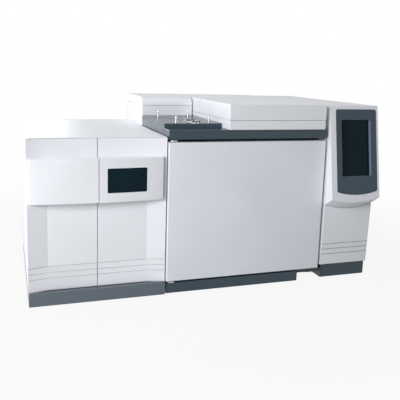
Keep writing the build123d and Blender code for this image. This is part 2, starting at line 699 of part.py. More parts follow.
# ---------------------------------------------------------------- oven door
pivot_x = gx0 + 14.4
pivot_y = door_front + 8.4
door_x1 = gx1
door_skin = block(gx0 + 0.4, door_x1, door_front, door_back, door_z, door_top)
door_skin = fillet(edges_at(door_skin, Axis.Y, door_front), 2.6)
door_skin -= block(gx0 + 0.4 + skin, door_x1 - skin, door_front + skin, door_back + 1,
                   door_z + skin, door_top - skin)
bush_r = pin_r + 2.6
for z0, z1 in ((door_z - 1, door_z + skin + 1), (door_top - skin - 1, door_top + 1)):
    door_skin -= post(pivot_x, pivot_y, z0, z1, bush_r)
parts["oven_door_skin"] = door_skin
bush_l = 20.0
parts["oven_door_bushings"] = group([
    post(pivot_x, pivot_y, z, z + bush_l, bush_r)
    - post(pivot_x, pivot_y, z - 1, z + bush_l + 1, pin_r + pin_bore)
    for z in (door_z, door_top - bush_l)
])
pack_x0 = pivot_x + bush_r + 2
pack_y0 = door_front + skin
plug_gap = 6.0
plug_y1 = inlet_ys[0] - tube_r - 3.0
plug = (cav_x0 + plug_gap, cav_x1 - plug_gap, door_back, plug_y1, cav_z0 + plug_gap, cav_z1 - plug_gap)
slab_y1 = door_back - liner_t
parts["oven_door_insulation"] = block(
    pack_x0, door_x1 - skin, pack_y0, slab_y1, door_z + skin, door_top - skin
) + block(plug[0] + liner_t, plug[1] - liner_t, slab_y1, plug[3] - liner_t,
          plug[4] + liner_t, plug[5] - liner_t)
plug_room = block(plug[0] + liner_t, plug[1] - liner_t, slab_y1 - 1, plug[3] - liner_t,
                  plug[4] + liner_t, plug[5] - liner_t)
parts["oven_door_sheet"] = block(
    pack_x0, door_x1 - skin, slab_y1, door_back, door_z + skin, door_top - skin) - plug_room
parts["oven_door_plug"] = block(*plug) - plug_room
seal_out = 10.0
seal_box = (plug[0] - 2, plug[1] + 2, plug[4] - 2, plug[5] + 2)
seal = block(seal_box[0] - seal_out, seal_box[1] + seal_out, door_back, frame_y - 0.4,
             seal_box[2] - seal_out, seal_box[3] + seal_out)
seal = fillet(edges_at(seal, Axis.Y, frame_y - 0.4), 3.0)
seal -= block(plug[0], plug[1], door_back - 1, frame_y + 1, plug[4], plug[5])
parts["oven_door_seal"] = seal
strike_x = cut_x + 30.4
parts["oven_door_strike"] = block(strike_x, strike_x + 10, door_back, frame_y - 1.2,
                                  door_z + 8, door_z + 30)

hinge_t = 3.0
upper_z = door_top + 1.6
lower_z = door_z - 1.4 - hinge_t
hinge_x0, hinge_x1 = gx0 + 4, gx0 + 30
hinges = []
for z, p0, p1 in ((upper_z, door_top - bush_l + 1, upper_z), (lower_z, lower_z + hinge_t, door_z + bush_l - 1)):
    plate = plan([
        (hinge_x0, frame_y), (hinge_x0 + 2, pivot_y - 4), (hinge_x0 + 6, pivot_y - 6.4),
        (hinge_x1 - 8, pivot_y - 6.4), (hinge_x1, pivot_y + 4), (hinge_x1, frame_y),
    ], z, z + hinge_t)
    hinges += [plate + post(pivot_x, pivot_y, p0, p1, pin_r)]
parts["oven_door_pivots"] = group(hinges)

latch_x = strike_x - 12
parts["door_latch"] = joined([
    block(latch_x - 8, latch_x + 10, 2, frame_y - 1, floor_z + fit, floor_z + fit + 2.4),
    block(latch_x + 1, latch_x + 10, door_back + 2.4, frame_y - 1.2, floor_z + fit, door_z + 36),
    block(latch_x - 8, latch_x + 10, 2, 5, floor_z + fit - 2.2, floor_z + fit + 2.4),
])

# ---------------------------------------------------------------- slate bar and deck
bar_back = deck_front
bar_end_r = 7.0
bar_face = Pos((gx0 + gx1) / 2, bar_z + bar_h / 2) * Rectangle(gx1 - gx0, bar_h)
low_corner = bar_face.vertices().sort_by(Axis.X)[-2:].sort_by(Axis.Y)[0]
bar_face = fillet(low_corner, bar_end_r)
bar = front(bar_face, bar_front, bar_back)
bar -= block(gx0 + wall, gx1 - wall, bar_front + wall, bar_back - wall, bar_z - 1, bar_top - wall)
parts["front_bar"] = bar
deck_x1 = gx0 + deck_w
deck_corner = 9.0
deck_face = Pos((gx0 + deck_x1) / 2, (deck_front + block_front) / 2) * Rectangle(
    deck_w, block_front - deck_front)
front_corner = deck_face.vertices().sort_by(Axis.Y)[:2].sort_by(Axis.X)[-1]
deck_face = fillet(front_corner, deck_corner)
deck = Pos(0, 0, side_top) * extrude(deck_face, deck_z - side_top)
deck -= block(gx0 + wall, deck_x1 - wall - 9, deck_front + wall, block_front - wall,
              side_top - 1, deck_z - wall)
turret_r = 19.0
for y in inlet_ys:
    deck -= post(inlet_x, y, deck_z - wall - 1, deck_z + 1, turret_r)
parts["inlet_deck"] = deck
stud_r = 3.0
stud_h = 17.0
stud_x = (gx0 + 38, gx0 + 130)
stud_in = 24.6
stud_pitch = 189.0
stud_y = (deck_front + stud_in, deck_front + stud_in + stud_pitch)
parts["deck_studs"] = group([
    post(x, y, deck_z, deck_z + stud_h, stud_r) for x in stud_x for y in stud_y])

inlets, nuts = [], []
for y in inlet_ys:
    body = turned([
        (0, 0), (tube_r, 0), (tube_r, side_top - cav_z1 + 26), (16, side_top - cav_z1 + 26),
        (16, deck_z - cav_z1 + 16), (0, deck_z - cav_z1 + 16),
    ], inlet_x, y, cav_z1 - 16)
    inlets.append(body)
    nut = post(inlet_x, y, deck_z, deck_z + 4.5, 11.0) - post(inlet_x, y, deck_z + 1, deck_z + 5, 3.0)
    nuts.append(nut)
parts["inlet_bodies"] = group(inlets)
parts["septum_nuts"] = group(nuts)
det_base = side_top
dets = []
for y in det_ys:
    dets.append(turned([
        (0, cav_z1 - 14), (tube_r, cav_z1 - 14), (tube_r, det_base), (20, det_base),
        (20, det_base + 14), (11, det_base + 17), (11, det_base + 36), (7, det_base + 38),
        (7, det_base + 44), (0, det_base + 44),
    ], det_x, y, 0))
parts["detectors"] = group(dets)

# ---------------------------------------------------------------- upper housings and their lids
block_x1 = deck_x1 - 4.4
lid_gap = 0.8
surround = block(gx0, block_x1, block_front, rear_in, side_top, block_seam - lid_gap)
surround -= block(gx0 + skin, block_x1 - skin, block_front + skin, rear_in + 1,
                  side_top - 1, block_seam + 1)
parts["pneumatics_surround"] = surround
round_r = 25.0
hinge_r = 4.5
lid_z1 = unit_h


def curved_lid(inset, x0, x1):
    z0 = block_seam - (1 if inset else 0)
    solid = block(x0, x1, block_front + inset, unit_d - inset, z0, lid_z1 - inset)
    edge = edges_at(edges_at(solid, Axis.Y, block_front + inset), Axis.Z, lid_z1 - inset)
    return fillet(edge, min(round_r, lid_z1 - block_seam - 0.3) - inset)


pneumatics_lid = curved_lid(0, gx0, block_x1) - curved_lid(skin, gx0 + skin, block_x1 - skin)
parts["pneumatics_lid"] = pneumatics_lid
cov_x0 = deck_x1
cov_x1 = gx1 - cover_inset
cov_z0 = bar_top + 0.4
surround = block(cov_x0, cov_x1, cover_front, rear_in, cov_z0, cover_seam - lid_gap)
surround -= block(cov_x0 + skin, cov_x1 - skin, cover_front + skin, rear_in + 1,
                  cov_z0 - 1, cover_seam + 1)
surround += block(cov_x0, cov_x0 + skin, bar_back + fit, rear_in, side_top, cov_z0)
surround += block(cov_x1 - skin, cov_x1, bar_back + fit, rear_in, side_top, cov_z0)
parts["detector_surround"] = surround
cover = block(cov_x0, cov_x1, cover_front, unit_d, cover_seam, lid_z1)
cover -= block(cov_x0 + skin, cov_x1 - skin, cover_front + skin, unit_d - skin,
               cover_seam - 1, lid_z1 - skin)
parts["detector_lid"] = cover


def lid_hinges(x0, x1, z):
    fixed, moving = [], []
    y = unit_d + hinge_r + 0.2
    span = 34.0
    for xc in (x0 + 30, x1 - 30):
        third = span / 3
        barrel = rod_x(xc - third / 2 + 0.2, xc + third / 2 - 0.2, y, z, hinge_r)
        barrel -= rod_x(xc - third, xc + third, y, z, 2.0 + pin_bore)
        leaf = block(xc - third / 2 + 0.2, xc + third / 2 - 0.2, unit_d, unit_d + 2.0, z + 1.0, z + 16)
        moving.append(barrel + (leaf - rod_x(xc - third, xc + third, y, z, 2.0 + pin_bore)))
        arm = rod_x(xc - span / 2, xc + span / 2, y, z, 2.0)
        for side in (-1, 1):
            c = xc + side * third
            arm += rod_x(c - third / 2, c + third / 2, y, z, hinge_r)
            arm += block(c - third / 2, c + third / 2, unit_d, unit_d + 2.0, z - 18, z - 1.0)
        fixed.append(arm)
    return fixed, moving


hinge_low, hinge_low_mv = lid_hinges(cov_x0, cov_x1, cover_seam - lid_gap / 2)
hinge_high, hinge_high_mv = lid_hinges(gx0, block_x1, block_seam - lid_gap / 2)
parts["lid_hinges_fixed"] = group(hinge_low + hinge_high)
parts["detector_lid_hinges"] = group(hinge_low_mv)
parts["pneumatics_lid_hinges"] = group(hinge_high_mv)

# ---------------------------------------------------------------- pneumatics
epc_z0 = side_top
epc_w, epc_h, epc_pitch = 34.0, 30.0, 44.0
epc_z1 = epc_z0 + epc_h
epc_y0, epc_y1 = block_front + 60, rear_in - 40
epc = []
for i in range(3):
    x0 = gx0 + 16 + i * epc_pitch
    epc.append(joined([
        block(x0, x0 + epc_w, epc_y0, epc_y1, epc_z0, epc_z1),
        post(x0 + 10, epc_y0 + 24, epc_z1, epc_z1 + 22, 8.0),
        post(x0 + 24, epc_y0 + 52, epc_z1, epc_z1 + 16, 6.0),
        block(x0 + 4, x0 + epc_w - 4, epc_y1 - 50, epc_y1 - 20, epc_z1, epc_z1 + 12),
    ]))
parts["inlet_flow_modules"] = group(epc)
aux = []
aux_w, aux_h, aux_pitch = 40.0, 34.0, 58.0
aux_z1 = epc_z0 + aux_h
for i in range(4):
    x0 = cov_x0 + 24 + i * aux_pitch
    aux.append(joined([
        block(x0, x0 + aux_w, epc_y0 - 20, epc_y1 + 10, epc_z0, aux_z1),
        post(x0 + aux_w / 2, epc_y0 + 10, aux_z1, aux_z1 + 20, 9.0),
    ]))
parts["detector_flow_modules"] = group(aux)
gas_r = 6.0
gas_xs = [gx0 + 33 + i * epc_pitch for i in range(3)]
gas = []
for x in gas_xs:
    gas.append(joined([
        rod_y(x, rear_in - 40, unit_d + 8, epc_z0 + 14, gas_r),
        rod_y(x, unit_d + 2, unit_d + 7, epc_z0 + 14, gas_r + 3),
    ]) - rod_y(x, unit_d - 6, unit_d + 9, epc_z0 + 14, 2.2))
parts["gas_fittings"] = group(gas)

# ---------------------------------------------------------------- rear panel, flaps, fan, mains
unit_fan_x = (cx0 + cx1) / 2
unit_fan_z = column_h - 98.0
housing, rotor = axial_fan(unit_fan_x, unit_fan_z, rear_in)
parts["column_fan_housing"] = housing
parts["column_fan_rotor"] = rotor
ducts, flaps = [], []
for z in duct_z:
    tube = block(duct_x0, duct_x1, jack_y1, rear_in, z - duct_hh, z + duct_hh) - block(
        duct_x0 + duct_t, duct_x1 - duct_t, jack_y1 - 1, rear_in + 1,
        z - duct_hh + duct_t, z + duct_hh - duct_t)
    ducts.append(tube)
flap_axis_y = rear_in + skin / 2
flap_rise = duct_hh - duct_t - 4.0
flap_half = flap_rise - 1.0
rear = block(gx0, gx1, rear_in, unit_d, pan_z, cover_seam - lid_gap)
rear += block(gx1, cx0, rear_in, unit_d, pan_z, side_top)
rear += block(gx0, block_x1, rear_in, unit_d, side_top, block_seam - lid_gap)
rear += block(cx0, cx1, rear_in, unit_d, pan_z, column_h - skin)
flap_pin = 2.0
for z in duct_z:
    rear -= block(duct_x0 + duct_t, duct_x1 - duct_t, rear_in - 1, unit_d + 1,
                  z - duct_hh + duct_t, z + duct_hh - duct_t)
    axis_z = z + flap_rise
    flap = block(duct_x0 + duct_t + 1, duct_x1 - duct_t - 1, flap_axis_y - 1, flap_axis_y + 1,
                 z - flap_half, axis_z)
    flap += rod_x(duct_x0 + duct_t + 1, duct_x1 - duct_t - 1, flap_axis_y, axis_z, 3.6)
    flap -= rod_x(duct_x0, duct_x1, flap_axis_y, axis_z, flap_pin + pin_bore)
    flaps.append(flap)
parts["duct_exhaust"] = ducts[1]
parts["duct_intake"] = ducts[0]
parts["flap_exhaust"] = flaps[1]
parts["flap_intake"] = flaps[0]
parts["flap_pins"] = group([
    rod_x(duct_x0 + duct_t, duct_x1 - duct_t, flap_axis_y, z + flap_rise, flap_pin) for z in duct_z])
for cut in slot_cuts(unit_fan_x, unit_fan_z, 78, 78, 9.0, 5.0, rear_in - 1, unit_d + 1):
    rear -= cut
for cut in slot_cuts(fan_cx + 130, fan_cz + 20, 90, 120, 12.0, 5.0, rear_in - 1, unit_d + 1):
    rear -= cut
for x in gas_xs:
    rear -= rod_y(x, rear_in - 1, unit_d + 1, epc_z0 + 14, gas_r + 0.3)
inlet_sx = cx0 + 44
switch_x = inlet_sx + 52
mains_z = 110.0
rear -= block(inlet_sx - 14, inlet_sx + 14, rear_in - 1, unit_d + 1, mains_z - 10.5, mains_z + 10.5)
rear -= block(switch_x - 11, switch_x + 11, rear_in - 1, unit_d + 1, mains_z - 15, mains_z + 15)
parts["unit_back"] = rear
socket = block(inlet_sx - 14, inlet_sx + 14, rear_in - 26, unit_d + 1.5, mains_z - 10.5, mains_z + 10.5)
socket += block(inlet_sx - 18, inlet_sx + 18, unit_d, unit_d + 1.5, mains_z - 14, mains_z + 14)
socket -= block(inlet_sx - 12, inlet_sx + 12, rear_in - 16, unit_d + 2, mains_z - 8.5, mains_z + 8.5)
for dx in (-7, 0, 7):
    socket += block(inlet_sx + dx - 1, inlet_sx + dx + 1, rear_in - 16, rear_in - 2,
                    mains_z - 3, mains_z + 3)
parts["mains_socket"] = socket
rocker_hw = 8.0
bezel = block(switch_x - 11, switch_x + 11, rear_in - 14, unit_d + 1.5, mains_z - 15, mains_z + 15)
bezel -= block(switch_x - 8.6, switch_x + 8.6, rear_in - 12, unit_d + 2, mains_z - 13, mains_z + 13)
bezel += rod_x(switch_x - 8.6, switch_x + 8.6, unit_d - 2, mains_z, 2.0)
parts["switch_frame"] = bezel
rocker = profile([(-5, -7), (-5, 7), (2.0, 11.2), (3.6, 0), (5.2, -11)],
                 switch_x - rocker_hw, switch_x + rocker_hw)
rocker = Pos(0, unit_d - 2, mains_z) * rocker
rocker -= rod_x(switch_x - 20, switch_x + 20, unit_d - 2, mains_z, 2.0 + pin_bore)
parts["power_rocker"] = rocker
screw_spots = [(x, z) for x in (mx0 + 10, -10, (mx0) / 2) for z in (floor_z + 22, frame_z1 - 22)]
parts["module_back_screws"] = group(
    [rod_y(x, module_d, module_d + 2.2, z, 3.5) for x, z in screw_spots])
screw_spots = [
    (x, z) for x in (gx0 + 8, fan_cx, gx1 - 12, cx1 - 9) for z in (floor_z + 22, side_top - 16)]
parts["unit_back_screws"] = group([rod_y(x, unit_d, unit_d + 2.2, z, 3.5) for x, z in screw_spots])

# ---------------------------------------------------------------- control column
lean = math.atan2(housing_top_y - housing_tip, column_h - housing_z)
house_back = 40.0
low_back = 18.0
shelf_dy = lower_top_y - housing_tip
shelf_dz = lower_top_z - housing_z
shelf = shelf_dz / shelf_dy


def housing_outline(grow):
    drop = chin + 30
    tip_z = housing_z - drop
    front_y = housing_tip - math.tan(lean) * drop
    return [
        (front_y + grow, tip_z), (housing_top_y + grow, column_h - grow),
        (house_back + (5 if grow else 0), column_h - grow), (house_back + (5 if grow else 0), tip_z),
    ]


half_w = column_w / 2
col_cx = cx0 + half_w


def chin_cut(rise):
    """The space under the curved lower edge, carried back and down along the underside."""
    reach = half_w + 4
    z_edge = housing_z + rise
    z_mid = housing_z - chin + rise
    z_far = z_edge + chin * ((reach / half_w) ** 2 - 1)
    with BuildSketch(Plane.XZ) as sk:
        with BuildLine():
            ThreePointArc((-reach, z_far), (0, z_mid), (reach, z_far))
            Polyline((reach, z_far), (reach, z_mid - 300), (-reach, z_mid - 300), (-reach, z_far))
        make_face()
    face = Pos(col_cx, housing_tip - 16, -shelf * 16) * sk.sketch
    return extrude(face, 150, dir=(0, 1, shelf))


screen_house = profile(housing_outline(0), cx0, cx1)
screen_house = screen_house - chin_cut(0)
inner = profile(housing_outline(wall), cx0 + wall, cx1 - wall) - chin_cut(wall)
tilt = Plane(origin=(0, housing_tip, housing_z), x_dir=(1, 0, 0),
             z_dir=(0, -math.cos(lean), math.sin(lean)))
slant = 1 / math.cos(lean)


def on_face(face, depth0, depth1):
    """A face drawn on the leaning front, from depth0 to depth1 behind it."""
    return extrude(tilt * (Pos(0, 0, -depth0) * face), -(depth1 - depth0))


bez_x0, bez_x1 = cx0 + bezel_in_l, cx1 - bezel_in_r
bez_v0, bez_v1 = bezel_up * slant, (house_h - bezel_down) * slant
bez_sag = 9.5


def bezel_face(grow):
    x0, x1 = bez_x0 - grow, bez_x1 + grow
    v0, v1 = bez_v0 - grow, bez_v1 + grow
    with BuildSketch() as sk:
        with BuildLine():
            Line((x0, v0), (x0, v1))
            Line((x0, v1), (x1, v1))
            Line((x1, v1), (x1, v0))
            ThreePointArc((x1, v0), ((x0 + x1) / 2, v0 - bez_sag), (x0, v0))
        make_face()
        fillet(sk.vertices(), 6.0)
    return sk.sketch


scr_x0, scr_x1 = cx0 + screen_in_l, cx1 - screen_in_r
scr_v0, scr_v1 = screen_up * slant, (house_h - screen_down) * slant
opening = Pos((scr_x0 + scr_x1) / 2, (scr_v0 + scr_v1) / 2) * RectangleRounded(
    scr_x1 - scr_x0, scr_v1 - scr_v0, 2.0)
bez_t = screen_depth + 1.0
screen_house = screen_house - inner
screen_house -= on_face(bezel_face(0.15), -1, wall + 1)
parts["screen_housing"] = screen_house
parts["screen_bezel"] = on_face(bezel_face(0), -0.6, wall) + on_face(
    Pos((scr_x0 + scr_x1) / 2, (scr_v0 + scr_v1) / 2) * Rectangle(
        scr_x1 - scr_x0 + 12, scr_v1 - scr_v0 + 12), wall, bez_t)
parts["screen_bezel"] -= on_face(opening, -2, bez_t + 1)
parts["touch_screen"] = on_face(
    Pos((scr_x0 + scr_x1) / 2, (scr_v0 + scr_v1) / 2) * Rectangle(
        scr_x1 - scr_x0 + 10, scr_v1 - scr_v0 + 10), bez_t, bez_t + 4)
lower = profile([
    (lower_foot_y, column_foot), (lower_top_y, lower_top_z),
    (lower_top_y - 0.6, housing_z - 2), (low_back, housing_z - 2), (low_back, column_foot),
], cx0, cx1)
lower_trim = chin_cut(-0.8)
lower = lower & lower_trim
for up in (31.0, 46.0, 61.0):
    y = lower_foot_y + (lower_top_y - lower_foot_y) * up / lower_h
    lower -= block(cx0 - 1, cx1 + 1, y - 5, y + 1.0, column_foot + up - 0.8, column_foot + up + 0.8)
parts["lower_panel"] = lower
col_top_z0 = column_h - skin
low_front = low_back + 0.4
for name, x0 in (("column_side_left", cx0), ("column_side_right", cx1 - skin)):
    parts[name] = profile([
        (low_front + 4, floor_z), (low_front + 4, housing_z - chin - 40), (house_back + 0.4, housing_z - chin - 40),
        (house_back + 0.4, col_top_z0), (rear_in, col_top_z0), (rear_in, floor_z),
    ], x0, x0 + skin)
parts["column_top"] = block(cx0, cx1, house_back + 0.4, unit_d, col_top_z0, column_h)
board_x = cx0 + 34
board_y0, board_y1 = house_back + 50, rear_in - 60
chip, chip_pitch = 40.0, 62.0
parts["main_board"] = joined([
    block(board_x, board_x + 2, board_y0, board_y1, floor_z + 60, col_top_z0 - 110),
] + [
    block(cx0 + skin, board_x, y, y + 6, floor_z + 70, col_top_z0 - 130)
    for y in (board_y0 + 10, board_y1 - 20)
] + [
    block(board_x + 2, board_x + 14, board_y0 + 30 + i * chip_pitch, board_y0 + 30 + chip + i * chip_pitch,
          floor_z + 110 + 70 * (i % 2), floor_z + 110 + chip + 70 * (i % 2)) for i in range(5)
])
core_y, core_hd, core_h = house_back + 160, 40.0, 72.0
coil_x0, coil_x1 = cx1 - 78, cx1 - 10
parts["transformer"] = joined([
    block(coil_x0 + 4, coil_x1 - 4, core_y - core_hd - 10, core_y + core_hd + 10, floor_z, floor_z + 12),
    block(coil_x0 + 8, coil_x1 - 8, core_y - core_hd, core_y + core_hd, floor_z + 12,
          floor_z + 12 + core_h),
    block(coil_x0, coil_x1, core_y - 22, core_y + 22, floor_z + 24, floor_z + core_h),
])
supply_y1 = rear_in - 88
parts["power_supply"] = block(coil_x0 + 2, coil_x1 + 2, supply_y1 - 140, supply_y1, floor_z, floor_z + 60)

# ---------------------------------------------------------------- pieces that share a file
fused = {
    "service_door": ["service_door", "service_door_band"],
    "fixed_front_panel": ["fixed_front_panel", "fixed_front_band"],
    "oven_door_skin": ["oven_door_skin", "oven_door_bushings"],
    "pneumatics_lid": ["pneumatics_lid", "pneumatics_lid_hinges"],
    "detector_lid": ["detector_lid", "detector_lid_hinges"],
    "module_frame": ["module_frame", "service_door_catches"],
    "unit_pan": ["unit_pan", "oven_floor_rails"],
    "air_ducts": ["duct_exhaust", "duct_intake", "flap_pins"],
    "vacuum_manifold": ["vacuum_manifold", "manifold_lid"],
}
grouped = {
    "module_cover": ["module_side_left", "module_side_right", "module_top"],
    "floor_pans": ["module_pan", "unit_pan"],
    "hinge_brackets": ["service_door_pivots", "oven_door_pivots", "lid_hinges_fixed"],
    "fan_housings": ["module_fan_housing", "column_fan_housing"],
    "mass_analyser": ["ion_source", "quadrupole_rods", "quadrupole_collars", "ion_detector"],
    "power_units": ["module_power_supply", "rf_generator", "power_supply", "transformer"],
    "circuit_boards": ["module_board", "main_board"],
    "rear_fittings": ["foreline", "gas_fittings"],
    "unit_covers": ["oven_side_left", "oven_side_right", "column_side_left", "column_side_right",
                    "column_top"],
    "back_panels": ["module_back", "unit_back"],
    "back_screws": ["module_back_screws", "unit_back_screws"],
    "upper_surrounds": ["pneumatics_surround", "detector_surround"],
    "inlets": ["inlet_bodies", "septum_nuts"],
    "unit_plinths": ["oven_plinth", "column_plinth"],
    "flow_modules": ["inlet_flow_modules", "detector_flow_modules"],
    "mains_inlet": ["mains_socket", "switch_frame"],
    "oven_frame": ["oven_face", "oven_top_plate"],
    "module_frame": ["module_frame", "manifold_stand"],
    "oven_door_tray": ["oven_door_sheet", "oven_door_plug", "oven_door_strike"],
}
for name, names in fused.items():
    parts[name] = joined([parts.pop(n) for n in names])
for name, names in grouped.items():
    parts[name] = group([parts.pop(n) for n in names])

# ---------------------------------------------------------------- frame and files
# The curved chin of the screen housing reaches furthest forward, the lid hinges furthest back.
chin_drop = chin / (1 + abs(shelf) * math.tan(lean))
front_y = housing_tip - math.tan(lean) * chin_drop
rear_y = unit_d + 2 * hinge_r + 0.2
shift = Pos(-(mx0 + cx1) / 2, -(front_y + rear_y) / 2, 0)
for name, shape in parts.items():
    export_step(shift * shape, "parts/" + name + ".step")
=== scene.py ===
# %% [markdown]
# # A bench gas chromatograph with a detector module and a control column
# This lesson dresses a finished CAD frame. The frame already holds every solid in its real place,
# in metres, so each step here only adds what a CAD solid lacks: softened edges, real finishes,
# and small repeated detail. We load the frame first and keep its size, because the dressed object
# has to stay inside it.

# %% Load the CAD frame
import bmesh
import bpy
import json
import math
from mathutils import Matrix, Vector

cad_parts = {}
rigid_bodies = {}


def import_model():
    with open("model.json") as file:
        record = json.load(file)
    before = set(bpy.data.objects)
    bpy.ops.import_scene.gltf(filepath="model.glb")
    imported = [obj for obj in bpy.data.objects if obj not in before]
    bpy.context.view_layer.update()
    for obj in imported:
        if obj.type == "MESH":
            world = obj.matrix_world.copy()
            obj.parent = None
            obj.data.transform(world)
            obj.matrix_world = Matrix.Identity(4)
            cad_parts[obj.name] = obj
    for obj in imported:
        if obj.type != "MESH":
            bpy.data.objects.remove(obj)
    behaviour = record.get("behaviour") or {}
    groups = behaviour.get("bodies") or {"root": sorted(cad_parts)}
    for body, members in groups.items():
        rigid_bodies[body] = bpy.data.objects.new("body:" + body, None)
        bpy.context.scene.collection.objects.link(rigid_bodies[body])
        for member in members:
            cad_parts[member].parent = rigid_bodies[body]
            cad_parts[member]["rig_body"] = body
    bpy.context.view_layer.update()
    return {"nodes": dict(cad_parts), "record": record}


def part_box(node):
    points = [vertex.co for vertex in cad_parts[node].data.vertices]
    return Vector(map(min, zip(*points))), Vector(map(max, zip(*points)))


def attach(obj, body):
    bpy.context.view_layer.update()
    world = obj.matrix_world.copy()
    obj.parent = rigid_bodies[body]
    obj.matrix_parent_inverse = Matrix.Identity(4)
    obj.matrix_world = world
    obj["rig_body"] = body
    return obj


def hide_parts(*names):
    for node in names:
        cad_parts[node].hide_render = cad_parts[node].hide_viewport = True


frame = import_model()
NODES = frame["nodes"]

# %% [markdown]
# ## Camera
# A product picture is usually taken from a little above the object and to one side, with a normal
# lens. We could aim a camera with a Track To constraint, but a written matrix keeps the exact
# yaw, pitch and roll, so the straight edges of the cabinet run where they should.

# %% Place the camera
YAW, PITCH, ROLL = math.radians(18.663), math.radians(9.664), math.radians(1.723)
CAMERA_AT = Vector((-0.51638, -1.61708, 0.58543))
LENS = 51.07
look = Vector((math.sin(YAW) * math.cos(PITCH), math.cos(YAW) * math.cos(PITCH), -math.sin(PITCH)))
right = Vector((math.cos(YAW), -math.sin(YAW), 0.0))
up = right.cross(look)
cam_x = math.cos(ROLL) * right + math.sin(ROLL) * up
cam_y = -math.sin(ROLL) * right + math.cos(ROLL) * up
camera = bpy.data.objects.new("camera", bpy.data.cameras.new("camera"))
bpy.context.scene.collection.objects.link(camera)
camera.matrix_world = Matrix((
    (cam_x.x, cam_y.x, -look.x, CAMERA_AT.x),
    (cam_x.y, cam_y.y, -look.y, CAMERA_AT.y),
    (cam_x.z, cam_y.z, -look.z, CAMERA_AT.z),
    (0.0, 0.0, 0.0, 1.0),
))
camera.data.lens = LENS
camera.data.sensor_width = 36.0
camera.data.shift_x = 0.00595
camera.data.shift_y = -0.0851
camera.data.clip_end = 50.0
bpy.context.scene.camera = camera
bpy.context.scene.view_settings.view_transform = "Standard"
print("camera at", tuple(round(v, 3) for v in CAMERA_AT), "lens", LENS)

# %% [markdown]
# ## Shader building blocks
# Each finish below is a node tree written by a few small helpers. Colours could be painted on
# images, but procedural nodes have no resolution and stay the same when somebody scales the part.
# All patterns read Object coordinates, which are metres here, so a grain of half a millimetre is
# half a millimetre.

# %% Helpers for node materials
def add_node(tree, kind, inputs=None, **settings):
    """A new node. Each input takes either a plain value or the output of another node."""
    node = tree.nodes.new(kind)
    for label, value in settings.items():
        setattr(node, label, value)
    for key, value in (inputs or {}).items():
        if isinstance(value, bpy.types.NodeSocket):
            tree.links.new(value, node.inputs[key])
        else:
            node.inputs[key].default_value = value
    return node


def new_material(name):
    mat = bpy.data.materials.new(name)
    mat.use_nodes = True
    tree = mat.node_tree
    where = add_node(tree, "ShaderNodeTexCoord").outputs["Object"]
    return mat, tree, tree.nodes["Principled BSDF"], where


def noise(tree, vector, scale, detail=3.0, rough=0.5, stretch=None):
    if stretch:
        vector = add_node(tree, "ShaderNodeMapping",
                          {"Scale": stretch, "Vector": vector}).outputs["Vector"]
    return add_node(tree, "ShaderNodeTexNoise", {
        "Scale": scale, "Detail": detail, "Roughness": rough, "Vector": vector}).outputs["Fac"]


def remap(tree, value, low, high, from_low=0.3, from_high=0.7, **settings):
    return add_node(tree, "ShaderNodeMapRange", {
        "From Min": from_low, "From Max": from_high, "To Min": low, "To Max": high,
        "Value": value}, **settings).outputs["Result"]


def two_tone(tree, fac, dark, light):
    return add_node(tree, "ShaderNodeMix", {
        6: (*dark, 1.0), 7: (*light, 1.0), 0: fac}, data_type="RGBA").outputs[2]


def bump(tree, shader, height, strength, distance):
    node = add_node(tree, "ShaderNodeBump", {
        "Strength": strength, "Distance": distance, "Height": height})
    tree.links.new(node.outputs["Normal"], shader.inputs["Normal"])


def shade(colour, factor):
    return tuple(min(1.0, c * factor) for c in colour)


def set_base(tree, shader, colour, roughness=None):
    tree.links.new(colour, shader.inputs["Base Color"])
    if roughness is not None:
        tree.links.new(roughness, shader.inputs["Roughness"])


print("material helpers ready")

# %% [markdown]
# ## Painted and moulded surfaces
# The cabinet is powder-coated sheet and moulded plastic in a cool off-white, with slate trim.
# Powder coat is never flat: it has a fine orange-peel texture and drifts slightly in gloss. Two
# noise scales give that, a fine one for the bump and a broad one for colour and roughness.

# %% Coats and plastics
def coated(name, colour, roughness, grain=0.0009, depth=0.00003, strength=0.25, coat=0.0):
    mat, tree, shader, where = new_material(name)
    broad = noise(tree, where, 7.0, detail=2.0)
    fine = noise(tree, where, 1.0 / grain, detail=2.0, rough=0.6)
    tone = two_tone(tree, remap(tree, broad, 0.0, 1.0), shade(colour, 0.975), shade(colour, 1.02))
    set_base(tree, shader, tone, remap(tree, broad, roughness - 0.04, roughness + 0.05))
    bump(tree, shader, fine, strength, depth)
    shader.inputs["Coat Weight"].default_value = coat
    shader.inputs["Coat Roughness"].default_value = 0.3
    return mat


finish = {
    "shell_white": coated("moulded_white", (0.80, 0.81, 0.83), 0.48),
    "panel_white": coated("coated_white", (0.80, 0.81, 0.83), 0.42, grain=0.0012),
    # The door white is the panel white made a little darker: painted shade for the weaker light
    # that reaches the door.
    "door_white": coated("door_coat_painted_shade", (0.755, 0.78, 0.81), 0.40, grain=0.0012),
    "slate": coated("slate_coat", (0.022, 0.046, 0.066), 0.22, grain=0.0010, strength=0.08),
    "slate_plastic": coated("slate_moulding", (0.022, 0.046, 0.066), 0.25, grain=0.0007,
                            strength=0.08),
    "black_plastic": coated("black_moulding", (0.018, 0.018, 0.02), 0.45, grain=0.0007),
    "rubber_black": coated("rubber", (0.022, 0.022, 0.022), 0.75, grain=0.0015, strength=0.4),
    "foam_grey": coated("acoustic_foam", (0.05, 0.05, 0.055), 0.95, grain=0.0022, depth=0.0006,
                        strength=0.9),
    "ceramic_wool": coated("fibre_board", (0.78, 0.76, 0.70), 0.95, grain=0.0016, depth=0.0004,
                           strength=0.7),
}
print("coats:", ", ".join(finish))

# %% [markdown]
# ## Metals
# Brushed and rolled metals differ from paint in two ways: they are metallic, and their scratches
# all run one way. Stretching a noise texture along one axis makes such scratches without any
# image.

